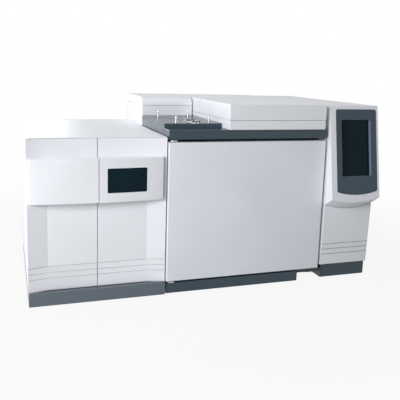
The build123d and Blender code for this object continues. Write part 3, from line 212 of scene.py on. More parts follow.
# %% Metal finishes
def metal(name, colour, roughness, stretch=(1.0, 1.0, 1.0), scale=700.0, strength=0.12,
          blotch=0.06):
    mat, tree, shader, where = new_material(name)
    lines = noise(tree, where, scale, detail=3.0, rough=0.6, stretch=stretch)
    broad = noise(tree, where, 18.0, detail=3.0)
    tone = two_tone(tree, remap(tree, broad, 0.0, 1.0), shade(colour, 1 - blotch),
                    shade(colour, 1 + blotch))
    set_base(tree, shader, tone, remap(tree, lines, roughness - 0.08, roughness + 0.1))
    shader.inputs["Metallic"].default_value = 1.0
    bump(tree, shader, lines, strength, 0.00004)
    return mat


finish.update({
    "stainless": metal("stainless_steel", (0.60, 0.59, 0.57), 0.32, stretch=(1.0, 0.04, 1.0)),
    "aluminised": metal("aluminised_sheet", (0.52, 0.53, 0.54), 0.45, scale=260.0, blotch=0.12),
    "machined_aluminium": metal("machined_aluminium", (0.66, 0.67, 0.69), 0.34,
                                stretch=(1.0, 1.0, 0.05)),
    "zinc_steel": metal("zinc_plate", (0.58, 0.60, 0.60), 0.38, scale=60.0, blotch=0.14),
    "nickel": metal("nickel_plate", (0.52, 0.54, 0.57), 0.30, scale=300.0, strength=0.05),
    "heater_black": metal("oxidised_sheath", (0.10, 0.085, 0.075), 0.6, scale=400.0, blotch=0.3),
})
print("metals added, finishes now", len(finish))

# %% [markdown]
# ## Glass, circuit board, rope and capillary
# The two screens are switched off, so they are near-black glass: a dark base that reflects little
# and has faint smudges. The other finishes here only show when a door or lid stands open.

# %% Screens and inner finishes
def dark_glass(name, colour):
    mat, tree, shader, where = new_material(name)
    smudge = noise(tree, where, 22.0, detail=4.0, rough=0.6)
    tone = two_tone(tree, remap(tree, smudge, 0.0, 1.0), shade(colour, 0.85), shade(colour, 1.15))
    set_base(tree, shader, tone, remap(tree, smudge, 0.05, 0.14))
    shader.inputs["Specular IOR Level"].default_value = 0.08
    return mat


def circuit_board(name):
    mat, tree, shader, where = new_material(name)
    turn = add_node(tree, "ShaderNodeMapping", {
        "Rotation": (0.0, math.radians(90), 0.0), "Vector": where})
    tracks = add_node(tree, "ShaderNodeTexBrick", {
        "Scale": 160.0, "Mortar Size": 0.03, "Color1": (0.012, 0.10, 0.045, 1.0),
        "Color2": (0.016, 0.13, 0.055, 1.0), "Mortar": (0.05, 0.26, 0.10, 1.0),
        "Vector": turn.outputs["Vector"]})
    set_base(tree, shader, tracks.outputs["Color"])
    shader.inputs["Roughness"].default_value = 0.35
    bump(tree, shader, tracks.outputs["Fac"], 0.3, 0.00005)
    return mat


def woven_rope(name, colour):
    mat, tree, shader, where = new_material(name)
    strands = add_node(tree, "ShaderNodeTexVoronoi", {"Scale": 520.0, "Vector": where})
    tone = two_tone(tree, strands.outputs["Distance"], shade(colour, 1.1), shade(colour, 0.55))
    set_base(tree, shader, tone)
    shader.inputs["Roughness"].default_value = 0.9
    bump(tree, shader, strands.outputs["Distance"], 0.8, 0.0006)
    return mat


finish.update({
    "screen_glass": dark_glass("screen_glass", (0.0012, 0.014, 0.020)),
    "board_green": circuit_board("circuit_board"),
    "seal_rope": woven_rope("glass_rope", (0.70, 0.68, 0.62)),
    "fused_silica": metal("polyimide_capillary", (0.42, 0.21, 0.07), 0.3, scale=900.0),
})
print("all finishes:", len(finish))

# %% [markdown]
# ## Give every CAD node its finish
# The frame's record names a material slot for each node. Assigning our node material to that slot
# keeps every solid dressed, also the ones that only a side or back view shows.

# %% Dress the CAD nodes
slot_of = {part["node"]: part["material_slot"] for part in frame["record"]["subparts"]}
# The module's skirt is the slate paint made paler: painted light, for the stronger light that falls
# near the floor at the left.
skirt_painted_light = coated("skirt_painted_light", (0.10, 0.122, 0.150), 0.30, strength=0.08)
coat_of = {node: finish[slot] for node, slot in slot_of.items()}
coat_of["module_plinth"] = skirt_painted_light
coat_of["inlets"] = coated("blackened_steel", (0.035, 0.040, 0.048), 0.32, strength=0.08)
for node, obj in NODES.items():
    for holder in obj.material_slots:
        holder.material = coat_of[node]
print("dressed", len(slot_of), "nodes")

# %% [markdown]
# ## Softened panels
# Real sheet and moulded panels have a radius on every edge, and that thin line of light is what
# makes a cabinet look real. The CAD solids are sharp triangles, so we copy a node, merge its
# corners, dissolve flat triangles into whole faces, and bevel only the edges sharper than 30
# degrees. At a tight corner a bevel can overshoot, so every corner is held inside the box of its
# node. A Bevel node in the shader would be quicker but would leave the mesh itself sharp.

# %% Helper for softened copies
def tidy_normals(mesh, angle=35.0):
    mesh.polygons.foreach_set("use_smooth", [True] * len(mesh.polygons))
    mesh.set_sharp_from_angle(angle=math.radians(angle))


def add_object(name, mesh, body, slot_name, replaced=(), coat=None):
    obj = bpy.data.objects.new(name, mesh)
    bpy.context.scene.collection.objects.link(obj)
    if not mesh.materials:
        mesh.materials.append(coat or finish[slot_name])
    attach(obj, body)
    if replaced:
        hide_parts(*replaced)
    return obj


def bevel_edges(temp, width):
    edge = temp.modifiers.new("edge", "BEVEL")
    edge.limit_method = "ANGLE"
    edge.angle_limit = math.radians(30)
    edge.width = width
    edge.segments = 2


def evaluated(name, mesh, add_modifiers):
    """The mesh after its modifiers, with the stand-in object taken away again."""
    temp = bpy.data.objects.new("temp_" + name, mesh)
    bpy.context.scene.collection.objects.link(temp)
    add_modifiers(temp)
    graph = bpy.context.evaluated_depsgraph_get()
    result = bpy.data.meshes.new_from_object(temp.evaluated_get(graph))
    bpy.data.objects.remove(temp)
    result.name = name
    return result


def merged(node):
    """The node's mesh with its doubled corners joined."""
    bm = bmesh.new()
    bm.from_mesh(NODES[node].data)
    bmesh.ops.remove_doubles(bm, verts=bm.verts, dist=2e-6)
    return bm


def whole_faces(node):
    bm = merged(node)
    bmesh.ops.dissolve_limit(bm, angle_limit=math.radians(0.5), verts=bm.verts, edges=bm.edges)
    return bm


def softened(node, width, sharp=12.0):
    bm = whole_faces(node)
    rough = bpy.data.meshes.new("rough_" + node)
    bm.to_mesh(rough)
    bm.free()
    mesh = evaluated(node + "_soft", rough, lambda temp: bevel_edges(temp, width))
    mesh.materials.clear()
    low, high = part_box(node)
    for vert in mesh.vertices:
        vert.co = [min(max(c, least), most) for c, least, most in zip(vert.co, low, high)]
    tidy_normals(mesh, sharp)
    return add_object(node + "_soft", mesh, NODES[node]["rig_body"], slot_of[node], (node,),
                      coat_of[node])


SOFT_EDGES = {
    "service_door": (0.0005, 8), "fixed_front_panel": (0.0005, 8), "module_cover": (0.0005, 12),
    "module_plinth": (0.0010, 12), "unit_plinths": (0.0010, 12), "oven_door_skin": (0.0005, 12),
    "front_bar": (0.0012, 20), "inlet_deck": (0.0012, 20), "upper_surrounds": (0.0007, 12),
    "detector_lid": (0.0008, 12), "pneumatics_lid": (0.0008, 20), "screen_housing": (0.0020, 20),
    "screen_bezel": (0.0005, 20), "lower_panel": (0.0010, 12), "unit_covers": (0.0005, 12),
}
for node, (width, sharp) in SOFT_EDGES.items():
    obj = softened(node, width, sharp)
    print("softened", node, len(obj.data.polygons), "faces")

# %% [markdown]
# ## Reading places from the solids
# Small detail has to sit exactly on the CAD, so nothing is placed by eye. A node such as the deck
# studs holds four separate solids in one mesh. Walking along its edges splits it into islands,
# and the box of each island gives the centre and size that the new detail needs. If the CAD is
# ever resized, the detail moves with it.

# %% Find the separate solids of a node
def islands(node):
    bm = merged(node)
    bm.verts.index_update()
    seen, found = set(), []
    for start in bm.verts:
        if start.index in seen:
            continue
        seen.add(start.index)
        stack, points = [start], []
        while stack:
            vert = stack.pop()
            points.append(vert.co.copy())
            for edge in vert.link_edges:
                other = edge.other_vert(vert)
                if other.index not in seen:
                    seen.add(other.index)
                    stack.append(other)
        low = Vector([min(p[i] for p in points) for i in range(3)])
        high = Vector([max(p[i] for p in points) for i in range(3)])
        found.append((low, high))
    bm.free()
    return found


def foot(low, high):
    """The middle of a box's underside."""
    return Vector(((low.x + high.x) / 2, (low.y + high.y) / 2, low.z))


for node in ("deck_studs", "inlets", "back_screws", "flow_modules"):
    print(node, "has", len(islands(node)), "solids")

# %% [markdown]
# ## Turned parts
# Studs, nuts, knobs and screws are lathe work: one profile turned about an axis. A radius in the
# profile may also be a function of the angle, which turns the same tool into a way to knurl a rim
# or to sink a hexagon socket. The Screw modifier could do the round parts, but not the knurls or
# sockets.

# %% Helpers for turned and boxed shapes
AXES = {
    "X": lambda a, b, h: Vector((h, a, b)),
    "Y": lambda a, b, h: Vector((b, h, a)),
    "Z": lambda a, b, h: Vector((a, b, h)),
}


def lathe(bm, profile, centre, axis="Z", steps=32, closed=False):
    place = AXES[axis]
    rings = []
    for radius, height in profile:
        if not callable(radius) and radius < 1e-7:
            rings.append([bm.verts.new(Vector(centre) + place(0, 0, height))])
            continue
        ring = []
        for i in range(steps):
            angle = 2 * math.pi * i / steps
            r = radius(angle, i) if callable(radius) else radius
            ring.append(bm.verts.new(
                Vector(centre) + place(r * math.cos(angle), r * math.sin(angle), height)))
        rings.append(ring)
    pairs = list(zip(rings, rings[1:])) + ([(rings[-1], rings[0])] if closed else [])
    for low, high in pairs:
        for i in range(max(len(low), len(high))):
            corners = [low[i % len(low)], low[(i + 1) % len(low)],
                       high[(i + 1) % len(high)], high[i % len(high)]]
            corners = list(dict.fromkeys(corners))
            if len(corners) > 2:
                bm.faces.new(corners)


def knurl(radius, depth):
    return lambda angle, i: radius - depth * (i % 2)


def hexagon(radius):
    def at(angle, i):
        turn = (angle + math.pi / 6) % (math.pi / 3) - math.pi / 6
        return radius * math.cos(math.pi / 6) / math.cos(turn)
    return at


def cuboid(bm, low, high):
    xs, ys, zs = zip(low, high)
    v = [bm.verts.new((x, y, z)) for z in zs for y in ys for x in xs]
    for a, b, c, d in ((0, 1, 3, 2), (4, 6, 7, 5), (0, 4, 5, 1), (2, 3, 7, 6), (0, 2, 6, 4),
                       (1, 5, 7, 3)):
        bm.faces.new((v[a], v[b], v[c], v[d]))


def to_mesh(bm, name, bevel=0.0, sharp=35.0):
    bmesh.ops.recalc_face_normals(bm, faces=bm.faces)
    mesh = bpy.data.meshes.new(name)
    bm.to_mesh(mesh)
    bm.free()
    if bevel:
        mesh = evaluated(name, mesh, lambda temp: bevel_edges(temp, bevel))
    tidy_normals(mesh, sharp)
    return mesh


def piece(name, bm, body, slot_name, replaced=(), bevel=0.0, sharp=35.0, coat=None):
    mesh = to_mesh(bm, name, bevel, sharp)
    print("made", name, "with", len(mesh.polygons), "faces")
    return add_object(name, mesh, body, slot_name, replaced, coat)


print("shape helpers ready")

# %% [markdown]
# ## Recipes in Geometry Nodes
# Anything that repeats is grown by a node recipe instead of being modelled many times. Each
# recipe is a node group with named inputs and a fixed seed, so a reader can open it and change a
# count or a radius. It ends in Realize Instances and Set Material, and we keep the evaluated
# mesh, because an exporter can only read plain meshes.

# %% Helper that opens an empty recipe
def recipe(name, inputs):
    tree = bpy.data.node_groups.new(name, "GeometryNodeTree")
    face = tree.interface
    face.new_socket("Geometry", in_out="INPUT", socket_type="NodeSocketGeometry")
    ids = {}
    for label, kind in inputs + [("Material", "Material")]:
        made = face.new_socket(label, in_out="INPUT", socket_type="NodeSocket" + kind)
        ids[label] = made.identifier
    face.new_socket("Geometry", in_out="OUTPUT", socket_type="NodeSocketGeometry")
    given = add_node(tree, "NodeGroupInput").outputs
    realize = add_node(tree, "GeometryNodeRealizeInstances")
    paint = add_node(tree, "GeometryNodeSetMaterial", {
        "Geometry": realize.outputs["Geometry"], "Material": given["Material"]})
    add_node(tree, "NodeGroupOutput", {"Geometry": paint.outputs["Geometry"]})
    return {"tree": tree, "ids": ids, "given": given, "last": realize.inputs["Geometry"]}


def grown(name, seed_mesh, made, values, body, slot_name, replaced=(), sharp=35.0):
    def add(temp):
        mod = temp.modifiers.new("recipe", "NODES")
        mod.node_group = made["tree"]
        for label, value in values.items():
            mod[made["ids"][label]] = value
        mod[made["ids"]["Material"]] = finish[slot_name]
    mesh = evaluated(name, seed_mesh, add)
    tidy_normals(mesh, sharp)
    print("grew", name, "with", len(mesh.polygons), "faces")
    return add_object(name, mesh, body, slot_name, replaced)


def math_node(tree, operation, a, b):
    return add_node(tree, "ShaderNodeMath", {0: a, 1: b}, operation=operation).outputs[0]


print("recipe helper ready")

# %% [markdown]
# ### Recipe: fasteners on marked points
# The seed is a cloud of points. Each point carries two attributes: the direction that the screw
# faces and its size. The recipe turns one screw to that direction and spins it by a random angle,
# since no fitter leaves all sockets lined up.

# %% Fastener recipe and the screw itself
fasteners = recipe("fasteners", [("Screw", "Object"), ("Seed", "Int")])
tree, given = fasteners["tree"], fasteners["given"]
screw_info = add_node(tree, "GeometryNodeObjectInfo", {"Object": given["Screw"]})
facing = add_node(tree, "GeometryNodeInputNamedAttribute", {"Name": "facing"},
                  data_type="FLOAT_VECTOR")
size_of = add_node(tree, "GeometryNodeInputNamedAttribute", {"Name": "size"}, data_type="FLOAT")
align = add_node(tree, "FunctionNodeAlignRotationToVector",
                 {"Vector": facing.outputs["Attribute"]}, axis="Z")
place = add_node(tree, "GeometryNodeInstanceOnPoints", {
    "Points": given["Geometry"], "Instance": screw_info.outputs["Geometry"],
    "Rotation": align.outputs["Rotation"], "Scale": size_of.outputs["Attribute"]})
any_turn = add_node(tree, "FunctionNodeRandomValue", {3: 2 * math.pi, "Seed": given["Seed"]},
                    data_type="FLOAT")
about = add_node(tree, "ShaderNodeCombineXYZ", {"Z": any_turn.outputs[1]})
spin = add_node(tree, "GeometryNodeRotateInstances", {
    "Instances": place.outputs["Instances"], "Rotation": about.outputs["Vector"]})
tree.links.new(spin.outputs["Instances"], fasteners["last"])

bm = bmesh.new()
lathe(bm, [(0, -0.3), (1.0, -0.3), (1.0, 0.35), (0.82, 0.58), (hexagon(0.5), 0.6),
           (hexagon(0.5), 0.2), (0, 0.14)], (0, 0, 0), steps=24)
screw_mesh = to_mesh(bm, "socket_screw")
screw = bpy.data.objects.new("socket_screw", screw_mesh)
bpy.context.scene.collection.objects.link(screw)


def fasten(name, spots, body, slot_name, replaced=(), seed=7):
    """Each spot is (centre, direction, head radius). The screw has a radius of one unit."""
    cloud = bpy.data.meshes.new(name + "_points")
    cloud.from_pydata([tuple(s[0]) for s in spots], [], [])
    cloud.attributes.new("facing", "FLOAT_VECTOR", "POINT")
    cloud.attributes.new("size", "FLOAT", "POINT")
    ways = [c for _, way, _ in spots for c in way]
    cloud.attributes["facing"].data.foreach_set("vector", ways)
    cloud.attributes["size"].data.foreach_set("value", [radius for _, _, radius in spots])
    return grown(name, cloud, fasteners, {"Screw": screw, "Seed": seed}, body, slot_name, replaced)


BACK, TOP = Vector((0, 1, 0)), Vector((0, 0, 1))
PANEL_SCREW_R, PANEL_SCREW_OUT = 0.0034, 0.0006
back_spots = [(Vector(((lo.x + hi.x) / 2, lo.y + PANEL_SCREW_OUT, (lo.z + hi.z) / 2)), BACK,
               PANEL_SCREW_R)
              for lo, hi in islands("back_screws")]
fasten("rear_panel_screws", back_spots, "base", "nickel", ("back_screws",))

# %% [markdown]
# ### Recipe: the same thing around an axis
# Fan blades sit evenly around a shaft. The seed is one of them, drawn at its true distance from
# the axis. The recipe makes a point for each copy and turns each by its share of the circle.

# %% Ring recipe
around = recipe("around_an_axis", [("Count", "Int"), ("Axis", "Vector"), ("Centre", "Vector")])
tree, given = around["tree"], around["given"]
dots = add_node(tree, "GeometryNodePoints", {"Count": given["Count"], "Position": given["Centre"]})
which = add_node(tree, "GeometryNodeInputIndex")
share_of = math_node(tree, "DIVIDE", 2 * math.pi, given["Count"])
turned_by = math_node(tree, "MULTIPLY", share_of, which.outputs["Index"])
turn = add_node(tree, "FunctionNodeAxisAngleToRotation", {
    "Axis": given["Axis"], "Angle": turned_by})
copies = add_node(tree, "GeometryNodeInstanceOnPoints", {
    "Points": dots.outputs["Points"], "Instance": given["Geometry"],
    "Rotation": turn.outputs["Rotation"]})
tree.links.new(copies.outputs["Instances"], around["last"])
print("ring recipe ready")

# %% [markdown]
# ### Recipe: the same thing in a row
# Cooling fins and terminal rows are a straight line of copies. A Mesh Line gives the places.

# %% Row recipe
row = recipe("in_a_row", [("Count", "Int"), ("Step", "Vector")])
tree, given = row["tree"], row["given"]
line = add_node(tree, "GeometryNodeMeshLine", {"Count": given["Count"], "Offset": given["Step"]},
                mode="OFFSET")
lined = add_node(tree, "GeometryNodeInstanceOnPoints", {
    "Points": line.outputs["Mesh"], "Instance": given["Geometry"]})
tree.links.new(lined.outputs["Instances"], row["last"])
print("row recipe ready")

# %% [markdown]
# ### Recipe: components scattered on a board
# A populated board is hundreds of small blocks. Points are spread with a minimum distance, so
# that no two parts collide, and each block takes a random size. The seed is fixed, so the board
# is the same each run.

# %% Board recipe
scatter = recipe("board_parts", [("Spacing", "Float"), ("Height", "Float"), ("Seed", "Int")])
tree, given = scatter["tree"], scatter["given"]
spread = add_node(tree, "GeometryNodeDistributePointsOnFaces", {
    "Mesh": given["Geometry"], "Distance Min": given["Spacing"], "Density Max": 9000.0,
    "Seed": given["Seed"]}, distribute_method="POISSON")
block = add_node(tree, "GeometryNodeMeshCube", {"Size": (1.0, 1.0, 1.0)})
wide = add_node(tree, "FunctionNodeRandomValue", {
    0: (0.3, 0.25, 0.25), 1: (1.0, 0.72, 0.72), "Seed": given["Seed"]}, data_type="FLOAT_VECTOR")
sizes = add_node(tree, "ShaderNodeCombineXYZ", {
    "X": given["Height"], "Y": given["Spacing"], "Z": given["Spacing"]})
scale_to = add_node(tree, "ShaderNodeVectorMath", {
    0: wide.outputs["Value"], 1: sizes.outputs["Vector"]}, operation="MULTIPLY")
blocks = add_node(tree, "GeometryNodeInstanceOnPoints", {
    "Points": spread.outputs["Points"], "Instance": block.outputs["Mesh"],
    "Scale": scale_to.outputs["Vector"]})
tree.links.new(blocks.outputs["Instances"], scatter["last"])

BOARD_PARTS = ("module_board_parts", "column_board_parts")
STAND, MARGIN, TOP_MARGIN = (0.020, 0.034), 0.008, 0.012
for name, (low, high), stand in zip(BOARD_PARTS, islands("circuit_boards"), STAND):
    x = low.x + stand
    y0, y1, z0, z1 = low.y + MARGIN, high.y - MARGIN, low.z + MARGIN, high.z - TOP_MARGIN
    field = bpy.data.meshes.new(name + "_field")
    field.from_pydata([(x, y0, z0), (x, y1, z0), (x, y1, z1), (x, y0, z1)], [], [(0, 1, 2, 3)])
    grown(name, field, scatter, {"Spacing": 0.011, "Height": 0.005, "Seed": 11}, "base",
          "black_plastic")

# %% [markdown]
# ### Recipe: a wound coil
# The separation column is tens of metres of fused silica, thinner than a pencil lead, wound on a
# wire cage. It follows a rule, so it is grown whole: a spiral curve with a small circle swept
# along it.

# %% Coil recipe and the capillary column
coil = recipe("wound_coil", [("Turns", "Float"), ("Radius", "Float"), ("Length", "Float"),
                             ("Wire", "Float"), ("Centre", "Vector")])
tree, given = coil["tree"], coil["given"]
spiral = add_node(tree, "GeometryNodeCurveSpiral", {
    "Resolution": 48, "Rotations": given["Turns"], "Start Radius": given["Radius"],
    "End Radius": given["Radius"], "Height": given["Length"]})
section = add_node(tree, "GeometryNodeCurvePrimitiveCircle", {
    "Resolution": 5, "Radius": given["Wire"]})
swept = add_node(tree, "GeometryNodeCurveToMesh", {
    "Fill Caps": True, "Curve": spiral.outputs["Curve"], "Profile Curve": section.outputs["Curve"]})
turned_over = add_node(tree, "GeometryNodeTransform", {
    "Rotation": (math.radians(-90), 0.0, 0.0), "Geometry": swept.outputs["Mesh"],
    "Translation": given["Centre"]})
tree.links.new(turned_over.outputs["Geometry"], coil["last"])

(low, high), = islands("capillary_column")
centre = (low + high) / 2
WIRE = 0.0007
wound = (high.y - low.y) - 2 * WIRE
grown("capillary_windings", bpy.data.meshes.new("empty"), coil, {
    "Turns": 22.0, "Radius": (high.x - low.x) / 2 - WIRE, "Length": wound, "Wire": WIRE,
    "Centre": Vector((centre.x, low.y + WIRE, centre.z))}, "base", "fused_silica")

# %% [markdown]
# ## Deck: studs and inlets
# The four studs on the deck locate an autosampler over the inlets, so they are ground pins with a
# chamfered tip and a groove. Each inlet is a turned body in a round well, with a knurled nut that
# the operator undoes by hand to change the septum.

# %% Studs, turrets and septum nuts
bm = bmesh.new()
for lo, hi in islands("deck_studs"):
    r, h = (hi.x - lo.x) / 2, hi.z - lo.z
    neck = r * 0.72
    lathe(bm, [(0, 0), (r, 0), (r, h * 0.62), (neck, h * 0.66), (neck, h * 0.74), (r, h * 0.78),
               (r, h * 0.93), (neck, h), (0, h)], foot(lo, hi), steps=24)
piece("deck_studs_turned", bm, "base", "nickel", ("deck_studs",))

solids = sorted(islands("inlets"), key=lambda box: box[0].z)
bodies, nuts = solids[:2], solids[2:]
KNURL_DEPTH = 0.0007
bm = bmesh.new()
for lo, hi in nuts:
    r, h = (hi.x - lo.x) / 2, hi.z - lo.z
    lathe(bm, [(0, 0), (r * 0.9, 0), (knurl(r, KNURL_DEPTH), 0.0006),
               (knurl(r, KNURL_DEPTH), h - 0.0008), (r * 0.84, h), (0, h)], foot(lo, hi), steps=48)
piece("septum_nuts", bm, "base", "black_plastic")
bm = bmesh.new()
for lo, hi in nuts:
    r = (hi.x - lo.x) / 2
    lathe(bm, [(0, -0.0008), (r * 0.62, -0.0008), (r * 0.62, 0.0003), (r * 0.2, 0.0003),
               (r * 0.12, -0.0005), (0, -0.0005)],
          ((lo.x + hi.x) / 2, (lo.y + hi.y) / 2, hi.z), steps=32)
piece("needle_guides", bm, "base", "nickel")
WELL_IN, WELL_OUT, RIM_OUT = 0.70, 1.06, 1.17
SCREW_CIRCLE, SCREW_RISE, SCREW_R, FIRST_ANGLE = 0.84, 0.0022, 0.0017, 35
turret_spots = []
wells, rims = bmesh.new(), bmesh.new()
for lo, hi in bodies:
    c, r = (lo + hi) / 2, (hi.x - lo.x) / 2
    at = (c.x, c.y, hi.z)
    lathe(wells, [(r * WELL_IN, 0.0), (r * WELL_OUT, 0.0), (r * WELL_OUT, 0.0007),
                  (r * WELL_IN, 0.0007)], at, closed=True)
    lathe(rims, [(r * WELL_OUT, 0.0), (r * RIM_OUT, 0.0), (r * RIM_OUT, 0.0006),
                 (r * 1.14, 0.0010), (r * 1.08, 0.0010), (r * WELL_OUT, 0.0008)],
          at, steps=40, closed=True)
    for k in range(3):
        a = math.radians(FIRST_ANGLE + 120 * k)
        reach = SCREW_CIRCLE * r
        spot = Vector((c.x + reach * math.cos(a), c.y + reach * math.sin(a), hi.z + SCREW_RISE))
        lathe(rims, [(0, -0.0020), (0.0030, -0.0020), (0.0030, -0.0002), (0.0026, 0), (0, 0)],
              spot, steps=16)
        turret_spots.append((spot, TOP, SCREW_R))
piece("inlet_wells", wells, "base", "rubber_black")
piece("inlet_rims", rims, "base", "zinc_steel")
fasten("turret_screws", turret_spots, "base", "nickel")

# %% [markdown]
# ## Oven door hinges
# The oven door is heavy with insulation, so it swings on two plain steel plates with fixed pins.
# The upper plate can be seen in the gap over the door. We only break its edges and add the screws
# that hold it, because the CAD shape is already the real one.

# %% Hinge plates with screws
softened("hinge_brackets", 0.0004, 25)
hinges = islands("hinge_brackets")
oven_hinges = [b for b in hinges if -0.135 < b[0].x < -0.12 and b[0].y < -0.2]
upper = max(oven_hinges, key=lambda b: b[1].z)
PLATE_SCREWS_X, PLATE_SCREW_IN, PLATE_SCREW_R = (0.007, 0.019), 0.006, 0.0022
plate_spots = [(Vector((upper[0].x + dx, upper[1].y - PLATE_SCREW_IN, upper[1].z)), TOP,
                PLATE_SCREW_R) for dx in PLATE_SCREWS_X]
fasten("hinge_plate_screws", plate_spots, "base", "zinc_steel")

# %% [markdown]
# ## Painted highlight in the screen recess
# The touch screen sits about a centimetre deep. A thin pale sheet covers the walls of the recess;
# its pale colour is a painted highlight for the light that the walls catch on the side away from
# the lamp. The recess leans with the housing, so the sheet is built in the tilted directions of
# the screen itself.

# %% Painted highlight sheet in the screen recess
screen_mesh = NODES["touch_screen"].data
front_face = max(screen_mesh.polygons, key=lambda f: f.area * (f.normal.y < -0.5))
out = front_face.normal.copy()
across = Vector((1, 0, 0))
along = out.cross(across).normalized()
if along.z < 0:
    along = -along
spread_u = [v.co.dot(across) for v in screen_mesh.vertices]
spread_v = [v.co.dot(along) for v in screen_mesh.vertices]
depth = max(v.co.dot(out) for v in screen_mesh.vertices)
LIP, WALL, DEEP = 0.005, 0.0005, 0.0098
u0, u1 = min(spread_u) + LIP, max(spread_u) - LIP
v0, v1 = min(spread_v) + LIP, max(spread_v) - LIP


def slab(bm, ua, ub, va, vb):
    corners = []
    for d in (depth, depth + DEEP):
        for u, v in ((ua, va), (ub, va), (ub, vb), (ua, vb)):
            corners.append(bm.verts.new(across * u + along * v + out * d))
    for f in ((3, 2, 1, 0), (4, 5, 6, 7), (0, 1, 5, 4), (1, 2, 6, 5), (2, 3, 7, 6), (3, 0, 4, 7)):
        bm.faces.new([corners[k] for k in f])


bm = bmesh.new()
slab(bm, u0, u0 + WALL, v0, v1)
slab(bm, u1 - WALL, u1, v0, v1)
slab(bm, u0 + WALL, u1 - WALL, v0, v0 + WALL)
slab(bm, u0 + WALL, u1 - WALL, v1 - WALL, v1)
# The pale blue-grey coat is a painted highlight on the recess walls, not their own colour.
painted_highlight_coat = coated("recess_painted_highlight", (0.16, 0.19, 0.27), 0.5)
piece("screen_lining", bm, "base", "slate_plastic", sharp=20, coat=painted_highlight_coat)

# %% [markdown]
# ## Painted shade in the grooves, and pale strips under the panels
# Three fine grooves run across the panels near the foot. Each groove floor gets a thin dark sheet:
# painted shade for the shadow in the groove, darker than the paint. A pale strip also closes the
# slot between panel and skirt, and keeps it from reading as a black line. Both are cut from faces
# of the CAD itself: we pick the faces by their direction and height, and give them a little
# thickness.

# %% Painted groove shade and dust strips
def thickened(bm, wanted, shift, thick, squeeze=1.0):
    """Keep the wanted faces, squeeze each in height, move them and give them thickness."""
    bmesh.ops.delete(bm, geom=[f for f in bm.faces if not wanted(f)], context="FACES")
    for face in bm.faces:
        middle = face.calc_center_bounds()
        for vert in face.verts:
            vert.co.z = middle.z + (vert.co.z - middle.z) * squeeze
    bmesh.ops.translate(bm, verts=bm.verts, vec=shift)
    fresh = bmesh.ops.extrude_face_region(bm, geom=bm.faces[:])["geom"]
    moved = [g for g in fresh if isinstance(g, bmesh.types.BMVert)]
    bmesh.ops.translate(bm, verts=moved, vec=thick)
    return bm


def groove_floor(low, high):
    def test(face):
        zs = [v.co.z for v in face.verts]
        return face.normal.y < -0.5 and low < max(zs) - min(zs) < high and len(face.verts) == 4
    return test


GROOVE_LOW, GROOVE_HIGH, LIFT, SHADE_SHEET = 0.0012, 0.0018, 0.00005, 0.0003
# The dark sheets in the grooves are painted shade.
for node, body, squeeze in (("service_door", "service_door", 0.28),
                            ("fixed_front_panel", "base", 0.28), ("lower_panel", "base", 0.6)):
    bm = thickened(whole_faces(node), groove_floor(GROOVE_LOW, GROOVE_HIGH),
                   Vector((0, -LIFT, 0)), Vector((0, -SHADE_SHEET, 0)), squeeze)
    piece(node + "_grooves", bm, body, "slate_plastic", sharp=20)


def under_face(height):
    return lambda face: face.normal.z < -0.9 and face.calc_center_median().z < height


for node in ("service_door", "fixed_front_panel"):
    low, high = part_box(node)
    bm = thickened(whole_faces(node), under_face(low.z + 0.001), Vector((0, 0.0004, -0.0006)),
                   Vector((0, 0, -0.0010)))
    piece(node + "_strip", bm, "base", "shell_white", sharp=20)

# %% [markdown]
# ## Painted shadow under the door
# Between the two skirts a near-black block sits just below the door: painted shadow for the shade
# under the unit. It runs under the floor pan and to the right of the release latch. The latch
# slides to the left, and its finger space stays open.

# %% Painted shadow under the pan and beside the latch
door_low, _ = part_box("oven_door_skin")
latch_low, latch_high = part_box("door_latch")
oven_skirt, column_skirt = sorted(islands("unit_plinths"), key=lambda b: b[0].x)
oven_pan = max(islands("floor_pans"), key=lambda b: b[0].x)
x0, x1 = oven_skirt[1].x, column_skirt[0].x
SHADOW_GAP, SHADOW_DEEP, SHADOW_TALL = 0.0008, 0.012, 0.0115
pan_low = oven_pan[0]
bm = bmesh.new()
cuboid(bm, (x0, pan_low.y, pan_low.z - 0.0065), (x1, pan_low.y + SHADOW_DEEP, pan_low.z))
cuboid(bm, (latch_high.x + SHADOW_GAP, latch_low.y - 0.001, door_low.z - SHADOW_GAP - SHADOW_TALL),
       (x1, pan_low.y - 0.0001, door_low.z - SHADOW_GAP))
# A near-black coat: painted shadow under the unit, not the colour of a real part.
shadow_coat = coated("painted_shadow_block", (0.012, 0.017, 0.021), 0.5)
piece("door_rail", bm, "base", "slate", bevel=0.0004, coat=shadow_coat)

# %% [markdown]
# ## Rear fans
# Each unit draws air through a flat axial fan. The CAD rotor has straight blades, good enough to
# weigh and to turn. A real one has seven cambered, twisted blades: steep at the hub, where the
# rim speed is low, and flat at the tip. One blade is a small grid bent by those two rules, and
# the ring recipe makes seven.

